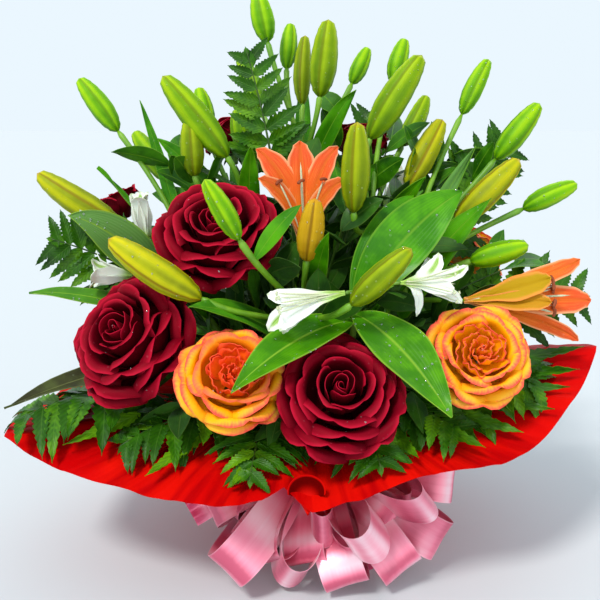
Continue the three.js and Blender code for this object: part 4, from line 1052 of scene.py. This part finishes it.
# Name, where it branches, its buds (base, tip, width, ripeness), its leaves (a share of the stem or a
# point, tip, width, facing, tone, arch) and its open flower (foot, facing, length, width, spread)
LILIES = [
    ("lily_stalk_front", (4, -62, 222), [
        ((5, -99, 286), (12, -102, 338), 22, 1.3), ((38, -147, 262), (83, -151, 307), 21, 0.45),
        ((-45, -146, 312), (-70, -148, 358), 17, 0.1), ((-76, -127, 262), (-150, -115, 308), 25, 0.9),
    ], [
        (0.88, (-84, -150, 262), 30, (0, -0.6, 0.8), 0.2), (0.93, (22, -124, 314), 17, (-0.2, -1, 0)),
        ((-35, -140, 295), (1, -138, 338), 14, (0.1, -0.8, 0.5), 0.0, 4),
    ], ((6, -52, 268), (-0.06, 0.05, 1), 112, 26, 0.95)),
    ("lily_stalk_top", (2, 42, 350), [
        ((-30, 59, 462), (-40, 70, 508), 22, 0.1), ((-13, 83, 438), (-9, 99, 482), 17, 0.1),
        ((2, 58, 404), (5, 82, 470), 17, 0.5), ((18, 34, 412), (26, 42, 482), 25, 0.35),
        ((51, 104, 424), (68, 118, 460), 17, 0.1), ((-40, 110, 400), (-62, 140, 455), 20, 0.2),
    ], [
        (0.9, (4, 120, 430), 16), (0.93, (50, 12, 420), 18, (0, -1, 0)),
    ], None),
    ("lily_stalk_top_right", (66, 8, 300), [
        ((90, 90, 425), (103, 106, 468), 19, 0.1), ((62, 8, 376), (108, 13, 450), 27, 0.3),
        ((98, 65, 366), (124, 87, 414), 19, 0.3), ((98, 18, 331), (133, 44, 393), 24, 0.8),
        ((44, -78, 322), (46, -76, 396), 24, 0.6),
    ], [
        (0.82, (104, -60, 350), 20, (0, -1, 0.3)),
    ], None),
    ("lily_stalk_right", (96, -26, 250), [
        ((154, 63, 396), (181, 81, 448), 19, 0.1), ((179, 22, 357), (219, 29, 408), 22, 0.1),
        ((136, -23, 304), (193, -14, 361), 25, 0.8), ((199, -9, 316), (247, -9, 339), 19, 0.05),
        ((146, -48, 276), (195, -55, 292), 21, 0.1),
    ], [
        ((44, -105, 252), (133, -74, 340), 46, (0.1, -0.9, 0.45)),
        ((43, -103, 250), (96, -50, 334), 34, (-0.1, -0.8, 0.6)),
        (0.62, (164, -40, 330), 36, (0, -0.8, 0.6)), (0.72, (150, -34, 374), 19, (0, -1, 0.2), 0.9),
        (0.8, (196, 60, 352), 15),
    ], ((140, -66, 246), (0.93, -0.2, 0.1), 104, 24, 0.66)),
    ("lily_stalk_top_left", (-52, -6, 302), [
        ((-62, -22, 362), (-118, -16, 432), 26, 0.25), ((-84, 22, 382), (-93, 36, 422), 18, 0.1),
        ((-92, -24, 346), (-95, -22, 398), 21, 0.45), ((-54, 50, 366), (-60, 62, 402), 19, 0.2),
    ], [
        (0.88, (-42, -36, 374), 20, (0, -1, 0.2)), (0.95, (-128, 4, 378), 20, (0, -1, 0.2)),
    ], None),
    ("lily_stalk_left", (-104, -6, 268), [
        ((-156, -36, 306), (-228, -28, 350), 24, 0.75), ((-167, 30, 382), (-204, 42, 430), 21, 0.1),
        ((-130, 84, 330), (-168, 112, 378), 22, 0.2),
    ], [
        (0.8, (-182, 0, 352), 14), (0.86, (-148, 40, 410), 12, (0, -1, 0.2)),
    ], None),
]

ALSTROEMERIAS = [
    ("alstroemeria_spray_front", (44, -108, 248), [
        (0.97, (-51, -180, 204), 40, (0, -0.35, 0.94)), (0.99, (112, -184, 186), 46, (0, -0.35, 0.94)),
    ], [
        ("alstroemeria_bloom_front", (34, -146, 272), (-0.94, -0.2, -0.1), 60, 24, 0.6),
        ("alstroemeria_bloom_front_right", (80, -112, 272), (0.93, -0.3, 0.05), 52, 15, 1.3),
    ]),
    ("alstroemeria_spray_left", (-118, -44, 262), [
        (0.8, (-232, -62, 252), 18, (0, -0.6, 0.8), 0.3), (0.97, (-184, -100, 324), 36, (0, -0.9, 0.5), 1.0),
    ], [
        ("alstroemeria_bloom_left", (-134, -36, 292), (-0.1, -0.1, 1), 42, 18, 0.28),
        ("alstroemeria_bloom_far_left", (-146, -48, 264), (-0.97, -0.1, 0.12), 36, 16, 0.8),
    ]),
    ("alstroemeria_spray_back", (60, 90, 280), [
        (0.85, (-10, 130, 320), 30), (0.92, (60, 160, 330), 26),
    ], [
        ("alstroemeria_bloom_back", (86, 112, 300), (0.6, 0.6, 0.5), 54, 22, 1.1),
    ]),
]

# Fronds over the collar: azimuth, shares of the way out where leaflets begin and end, turn and spread
LOW_FRONDS = [
    ("front_left", -43, 0.42, 0.86, -8), ("front", -17, 0.42, 0.96, 4), ("front_right", 26, 0.42, 0.98, -6),
    ("right_low", 43, 0.4, 0.84, 2, 0.68), ("right", 66, 0.4, 0.88, 2, 0.72),
    ("far_left", -72, 0.45, 0.98, 5),
    ("back_right", 125, 0.4, 0.92, 6), ("back", 178, 0.4, 0.94, 6), ("back_left", -122, 0.4, 0.94, 6),
]
FROND_OVER = 13

# More leaflets over the collar: the azimuth and share where each starts and ends, and its width
SKIRT_LEAFLETS = [
    (73, 0.6, 76, 0.97, 17), (69, 0.6, 71, 0.99, 17), (64, 0.58, 67, 0.99, 17), (59, 0.6, 61, 1.0, 17),
    (53, 0.58, 53, 0.99, 18), (46, 0.56, 44, 0.99, 18), (33, 0.6, 29, 0.99, 16), (-14, 0.62, -17, 1.0, 15),
    (-38, 0.6, -38, 1.0, 15), (-60, 0.6, -58, 0.96, 15),
]

# Fronds that stand up: where leaflets begin, the bend, the tip, the facing and the spread
HIGH_FRONDS = [
    ("top", ((-24, 20, 345), (-32, 18, 400), (-48, 12, 456)), (0, -1, 0.2), 0.42),
    ("upper_left", ((-134, 6, 246), (-180, -6, 276), (-225, -20, 292)), (-0.2, -0.8, 0.5), 0.52),
    ("upper_right", ((124, 52, 270), (162, 58, 330), (204, 64, 372)), (0.1, -1, 0.1), 0.44),
    ("right_high", ((130, 0, 210), (190, -10, 240), (262, -20, 240)), (0, -0.8, 0.6), 0.46),
    ("top_back", ((40, 90, 280), (56, 120, 340), (80, 150, 400)), (0.2, 0.9, 0.3), 0.4),
]

# Loops of the bow: where each ends, how far it opens and how far it is rolled
LOOPS = [
    ((-80, -96, 68), 26, 20), ((-62, -138, 32), 34, -6), ((-8, -134, 22), 34, 84), ((40, -134, 16), 32, 8),
    ((58, -154, 62), 34, 88), ((88, -126, 24), 32, -8), ((124, -100, 38), 30, 6), ((106, -132, 88), 28, 60),
    ((136, -78, 84), 24, 0),
]
INNER_LOOPS = [
    (-64, -92, 64, 22, 60), (-44, -110, 40, 22, 10), (-26, -118, 30, 24, 70), (6, -122, 30, 22, 30),
    (44, -118, 34, 24, 80), (76, -108, 56, 22, 10), (20, -128, 62, 20, 88), (96, -96, 70, 20, 50),
]
TAILS = [(-98, -80, 56), (70, -96, 12)]


# Paper wrap

RIM = [
    (-180, 205, 142), (-150, 208, 140), (-120, 216, 138), (-94, 238, 132), (-68, 270, 137), (-57, 236, 119),
    (-47, 212, 113), (-34, 194, 110), (-20, 185, 109), (-10, 178, 112), (-4, 171, 124), (2.5, 188, 110),
    (11, 185, 118), (20, 186, 124), (35, 194, 133), (47, 218, 132), (57, 233, 143), (68, 250, 166),
    (80, 268, 201),
    (98, 236, 176), (122, 214, 150), (150, 206, 144), (180, 205, 142),
]
WAIST_R = 29
WAIST_LOW, WAIST_HIGH = 82, 104
HEM_R = 58
COLLAR_BELLY = 22
GATHERS = 26
# The shares of the paper's way, from hem to rim, that its skirt, waist and collar take
SKIRT_SHARE, WAIST_SHARE, COLLAR_SHARE = 0.25, 0.05, 0.7
# The curl's foot, the middle of its mouth, the mouth's width and height, and how deep it is scooped
CURL_FOOT, CURL_MOUTH = Vector((6, -182, 105)), Vector((5, -177, 123))
CURL_WIDE, CURL_HIGH, CURL_DEEP = 14.5, 14, 9
CURL_TURN = radians(100)
# The tone that marks the curl: its paper gets no pleats and gets painted shade inside.
CURL_SHADE = 1.0


def rim_at(azimuth):
    azimuth = (azimuth + 180) % 360 - 180
    for (a0, r0, z0), (a1, r1, z1) in zip(RIM, RIM[1:]):
        if azimuth <= a1:
            t = (azimuth - a0) / (a1 - a0)
            return mix(r0, r1, t), mix(z0, z1, t)
    return RIM[-1][1:]


def collar(azimuth, share, over=0.0):
    r, z = rim_at(azimuth)
    height = mix(WAIST_HIGH, z, share) + COLLAR_BELLY * sin(pi * share**0.8) + over
    return around(mix(WAIST_R, r, share), azimuth, height)


def wrap_place(u, t):
    """The paper from its hem, up through the waist and out to the rim of the collar."""
    azimuth = 180 * u
    gather = sin(radians(azimuth) * GATHERS + 2 * wave(2, u * 9))
    if t < SKIRT_SHARE:
        s = t / SKIRT_SHARE
        r = mix(HEM_R, WAIST_R, s**0.8) + gather * mix(2.2, 0.5, s)
        return around(r, azimuth, WAIST_LOW * s)
    if t < SKIRT_SHARE + WAIST_SHARE:
        height = mix(WAIST_LOW, WAIST_HIGH, (t - SKIRT_SHARE) / WAIST_SHARE)
        return around(WAIST_R + gather * 0.4, azimuth, height)
    s = (t - (SKIRT_SHARE + WAIST_SHARE)) / COLLAR_SHARE
    ripple = gather * 2.4 * s * (1 - s) ** 2 * 4
    crease = 4.5 * wave(5, u * 14, s * 2.2) * smooth(0.15, 0.7, s)
    crease += 2.2 * wave(8, u * 40, s * 1.6) * smooth(0.1, 0.5, s)
    return collar(azimuth, s) + UP * (ripple + crease)


def curl_place(u, t):
    """The loop that the rim makes at the front: a scoop from its foot to a round mouth that leans forward."""
    turn = CURL_TURN * u
    x, y, z = CURL_MOUTH
    mouth = Vector((x + CURL_WIDE * sin(turn), y, z + CURL_HIGH * cos(turn)))
    return CURL_FOOT.lerp(mouth, t) + Vector((0, CURL_DEEP * sin(pi * t**0.9), 0))


def build_wrap():
    paper = shaped(260, 52, wrap_place)
    rolled = shaped(28, 14, curl_place, CURL_SHADE)
    made = piece("wrap", [paper, rolled], PAPER, ["wrap_paper"], weld=True, thick=0.5)


def band_place(u, t):
    """The band round the waist, with soft folds along it."""
    r = BAND_R - 0.4 + 0.5 * sin(t * 9 + 1.5 * wave(1, u * 6))
    return around(r, 180 * u, mix(WAIST_LOW + 2, WAIST_HIGH - 2, t))


def knot_place(u, t):
    ring = sin(pi * t)
    x, y, z = KNOT_R
    return KNOT + Vector((
        x * ring * cos(pi * u), y * ring * sin(pi * u),
        z * cos(pi * t) + 0.8 * sin(14 * u) * ring,
    ))


def build_ribbon():
    band = shaped(96, 10, band_place)
    wound = piece("waist_ribbon", [band], SATIN, ["ribbon_band"], weld=True, thick=0.5)
    strips = [bow_loop(end, opening, roll, i / len(LOOPS)) for i, (end, opening, roll) in enumerate(LOOPS)]
    strips += [bow_loop(end, opening, roll, 0.5) for *end, opening, roll in INNER_LOOPS]
    strips += [bow_tail(end, 0.3) for end in TAILS]
    strips.append(shaped(24, 18, knot_place, 0.5))
    made = piece("bow", strips, SATIN, ["ribbon_bow"], thick=0.35, angle=75)
    turns = Curve([around(26, a * 20, 90.5 + 3.6 * (a % 18) / 18) for a in range(55)])
    piece("twine_tie", [tube(turns, 1.2, 8, 220)], TWINE, ["binding_twine"], weld=True)


build_wrap()
build_ribbon()
for name, at, faces, width, lift, rows in ROSES:
    rose(name, at, faces, width, rows)
    rose_stem(name, at, faces, width, lift)
for name, branch, buds, leaves, bloom in LILIES:
    heads = [bloom] if bloom else []
    small = 0 if name.endswith("front") else 9
    spray(name, "lily", branch, buds, leaves, heads, LILY_STEM, LILY_LEAF, "lily_green", small)
_, low_upper = stem_way("lily_stalk_left", Vector(LILIES[5][1]), UP)
low_leaf = leaf(upper_share(low_upper, 0.66), (-248, -100, 161), 30, (0, -0.5, 0.85), 0, 14)
piece("lily_stalk_left_low_leaf", [low_leaf], DARK_LEAF, ["lily_stalk_left"], thick=0.6)
trumpet("lily_bloom_front", *LILIES[0][4], petals=FRONT_PETALS, lily=True)
trumpet("lily_bloom_right", *LILIES[3][4], petals=RIGHT_PETALS, lily=True, hug=0.35)
for name, branch, leaves, blooms in ALSTROEMERIAS:
    heads = [bloom[1:] for bloom in blooms]
    looks = ALSTROEMERIA_STEM, ALSTROEMERIA_LEAF, "alstroemeria_green"
    spray(name, "alstroemeria", branch, [], leaves, heads, *looks, 0)
    for bloom in blooms:
        trumpet(*bloom, petals=PLACED_PETALS.get(bloom[0], ()))
for name, azimuth, low, high, bend, *spread in LOW_FRONDS:
    root = collar(azimuth, low, FROND_OVER)
    tip = collar(azimuth + bend, high, FROND_OVER)
    middle = collar(azimuth + bend / 2, (low + high) / 2, FROND_OVER + 20)
    about = collar(azimuth + 20, (low + high) / 2) - collar(azimuth - 20, (low + high) / 2)
    face = (tip - root).cross(about).normalized()
    face = -face if face.z < 0 else face
    frond("fern_frond_" + name, root, middle, tip, face, *(spread or [0.56]), 24, 0.34)
skirt, skirt_stalks = [], []
for i, (low, share, high, reach, width) in enumerate(SKIRT_LEAFLETS):
    root, tip = collar(low, share, FROND_OVER), collar(high, reach, FROND_OVER + 3)
    facing = Vector((-0.15, -0.85, 0.5)).normalized()
    skirt.append(pinna(root, tip - root, facing, width, 0.35 + 0.07 * i, i, 0.04, 9))
    way = Curve([around(22, low, 104), collar(low, share * 0.5, FROND_OVER + 8), root])
    skirt_stalks.append(tube(way, 0.9, 6, 10))
piece("fern_skirt_leaflets", skirt, FERN_LEAF, ["fern_frond_right"], thick=0.5)
piece("fern_skirt_stalks", skirt_stalks, FERN_STEM, ["fern_frond_right"], weld=True)
for name, (root, bend, tip), face, spread in HIGH_FRONDS:
    frond("fern_frond_" + name, root, bend, tip, Vector(face).normalized(), spread, 40)


# Dark greenery deep in the bouquet, which fills it between the flowers

FILLERS = 36
LOW_FILLERS = 16
HIGH_FILLERS = [
    (112, 40, 352), (66, 40, 350), (-96, -10, 340), (143, 70, 352), (174, 64, 342),
    (88, 70, 372), (40, 60, 392), (-118, 20, 352), (44, -20, 318), (200, 10, 262),
]
GOLDEN_TURN = 137.5
DOME_WIDE, DOME_DEEP, DOME_TALL, DOME_FOOT = 210, 170, 250, 150


def filler_top(index):
    """Where a twig ends: over the dome under the flowers, and the last ones low over the collar."""
    if index >= FILLERS + LOW_FILLERS:
        return Vector(HIGH_FILLERS[index - FILLERS - LOW_FILLERS])
    if index >= FILLERS:
        return collar(index * 360 / LOW_FILLERS, random.uniform(0.5, 0.62), 34)
    azimuth = index * GOLDEN_TURN
    lean = acos(1 - (index + 0.5) / FILLERS) * 0.92
    reach = random.uniform(0.68, 0.84)
    return Vector((
        DOME_WIDE * reach * sin(lean) * sin(radians(azimuth)),
        -DOME_DEEP * reach * sin(lean) * cos(radians(azimuth)),
        max(DOME_FOOT + DOME_TALL * reach * cos(lean), DOME_FOOT),
    ))


def filler(index):
    """A leafy twig from the binding up into the dome."""
    top = filler_top(index)
    root = Vector((top.x * 0.08, top.y * 0.08, 110))
    way = Curve([root, root.lerp(top, 0.5) + UP * 26, top])
    twigs.append(tube(way, lambda t: mix(1.6, 0.8, t), 5, 8))
    for i in range(9):
        t = 0.34 + 0.66 * i / 8
        at, ahead = way.at(t), way.along(t)
        side = Quaternion(ahead, i * SPIRAL_TURN + index) @ ahead.orthogonal().normalized()
        out = (side * 0.8 + ahead * 0.7).normalized()
        long = random.uniform(38, 58)
        face = out.cross(Vector((random.uniform(-1, 1), random.uniform(-1, 1), 0.3))).normalized()
        blades = bright if index >= FILLERS + LOW_FILLERS else fillers
        width, tone = random.uniform(16, 24), random.uniform(0, 0.3)
        if clear_of_blooms(at, at + out * long * 0.5, at + out * long):
            blades.append(leaf(at, at + out * long, width, face, tone, 3, i, grid=(4, 9)))


twigs, fillers, bright = [], [], []
for i in range(FILLERS + LOW_FILLERS + len(HIGH_FILLERS)):
    filler(i)
piece("greenery_leaves", fillers, ROSE_LEAF, (), thick=0.4)
piece("greenery_upper_leaves", bright, SPRIG_LEAF, (), thick=0.4)
piece("greenery_twigs", twigs, ROSE_STEM, (), weld=True)


# Drops of water on the petals, buds and leaves

DROP_SIDES, DROP_RINGS, DROP_FLAT = 7, 5, 0.6


def drops(name, on, count, low, high):
    """Drops on random faces of a piece that look up or to the front."""
    mesh = bpy.data.objects[on].data
    sunny = [p for p in mesh.polygons if p.normal.z > 0.25 or (p.normal.y < -0.5 and p.normal.z > -0.2)]
    made = []
    for face in random.sample(sunny, min(count, len(sunny))):
        r = random.uniform(low, high) * random.uniform(0.6, 1.0)
        across = face.normal.orthogonal().normalized()
        other = face.normal.cross(across)
        centre = face.center / MM + face.normal * r * 0.25

        def place(u, t):
            out = across * cos(pi * u) + other * sin(pi * u)
            rise = face.normal * (DROP_FLAT * r * cos(pi * t))
            return centre + out * r * sin(pi * t) + rise

        made.append(shaped(DROP_SIDES, DROP_RINGS, place))
    piece(name, made, WATER, weld=True)


for name, *_, rows in ROSES:
    if rows == 8 and "back" not in name:
        drops(name + "_drops", name + "_petals", 34, 0.5, 1.2)
for name in ("lily_stalk_front_buds", "lily_stalk_right_buds", "lily_stalk_top_right_buds"):
    drops(name + "_drops", name, 40, 0.5, 1.1)
for name in ("lily_stalk_right_leaves", "alstroemeria_spray_front_leaves", "alstroemeria_spray_left_leaves"):
    drops(name + "_drops", name, 60, 0.5, 1.3)


# Floor, light and camera

CAMERA_AT, LOOK_AT = Vector((0, -0.7956, 0.4284)), Vector((0, 0, 0.23))


def sun(name, comes_from, strength, softness, colour):
    lamp = bpy.data.objects.new(name, bpy.data.lights.new(name, "SUN"))
    bpy.context.collection.objects.link(lamp)
    lamp.rotation_euler = Vector(comes_from).to_track_quat("Z", "Y").to_euler()
    lamp.data.energy = strength
    lamp.data.angle = radians(softness)
    lamp.data.color = colour


def set_stage():
    bpy.ops.object.select_all(action="DESELECT")
    bpy.ops.mesh.primitive_plane_add(size=14)
    floor = bpy.context.object
    floor.name = "floor"
    s = Shader("pale_floor", Roughness=1.0, Specular_IOR_Level=0.0)
    tone = s.mottle(3, 2)
    floor.data.materials.append(s.paint(s.blend(tone * 0.3, (0.558, 0.588, 0.607), (0.549, 0.579, 0.598))))
    world = bpy.data.worlds.new("studio")
    bpy.context.scene.world = world
    world.use_nodes = True
    colour, strength = world.node_tree.nodes["Background"].inputs[:2]
    colour.default_value, strength.default_value = (0.83, 0.93, 1.0, 1), 1.0
    sun("key", (-0.55, -0.85, 1.25), 2.3, 12, (1.0, 0.98, 0.95))
    sun("front_fill", (0.25, -1.0, 0.12), 0.7, 40, (1.0, 0.98, 0.96))
    sun("back_fill", (0.7, 1.2, 0.9), 0.5, 60, (1.0, 1.0, 1.0))
    camera = bpy.data.objects.new("camera", bpy.data.cameras.new("camera"))
    bpy.context.collection.objects.link(camera)
    camera.location = CAMERA_AT
    camera.rotation_euler = (LOOK_AT - CAMERA_AT).to_track_quat("-Z", "Y").to_euler()
    camera.data.lens, camera.data.sensor_width = 52.9, 36
    camera.data.clip_start, camera.data.clip_end = 0.01, 40
    scene = bpy.context.scene
    scene.camera = camera
    scene.view_settings.view_transform = "Standard"


set_stage()
for mesh in blanks.values():
    bpy.data.meshes.remove(mesh)
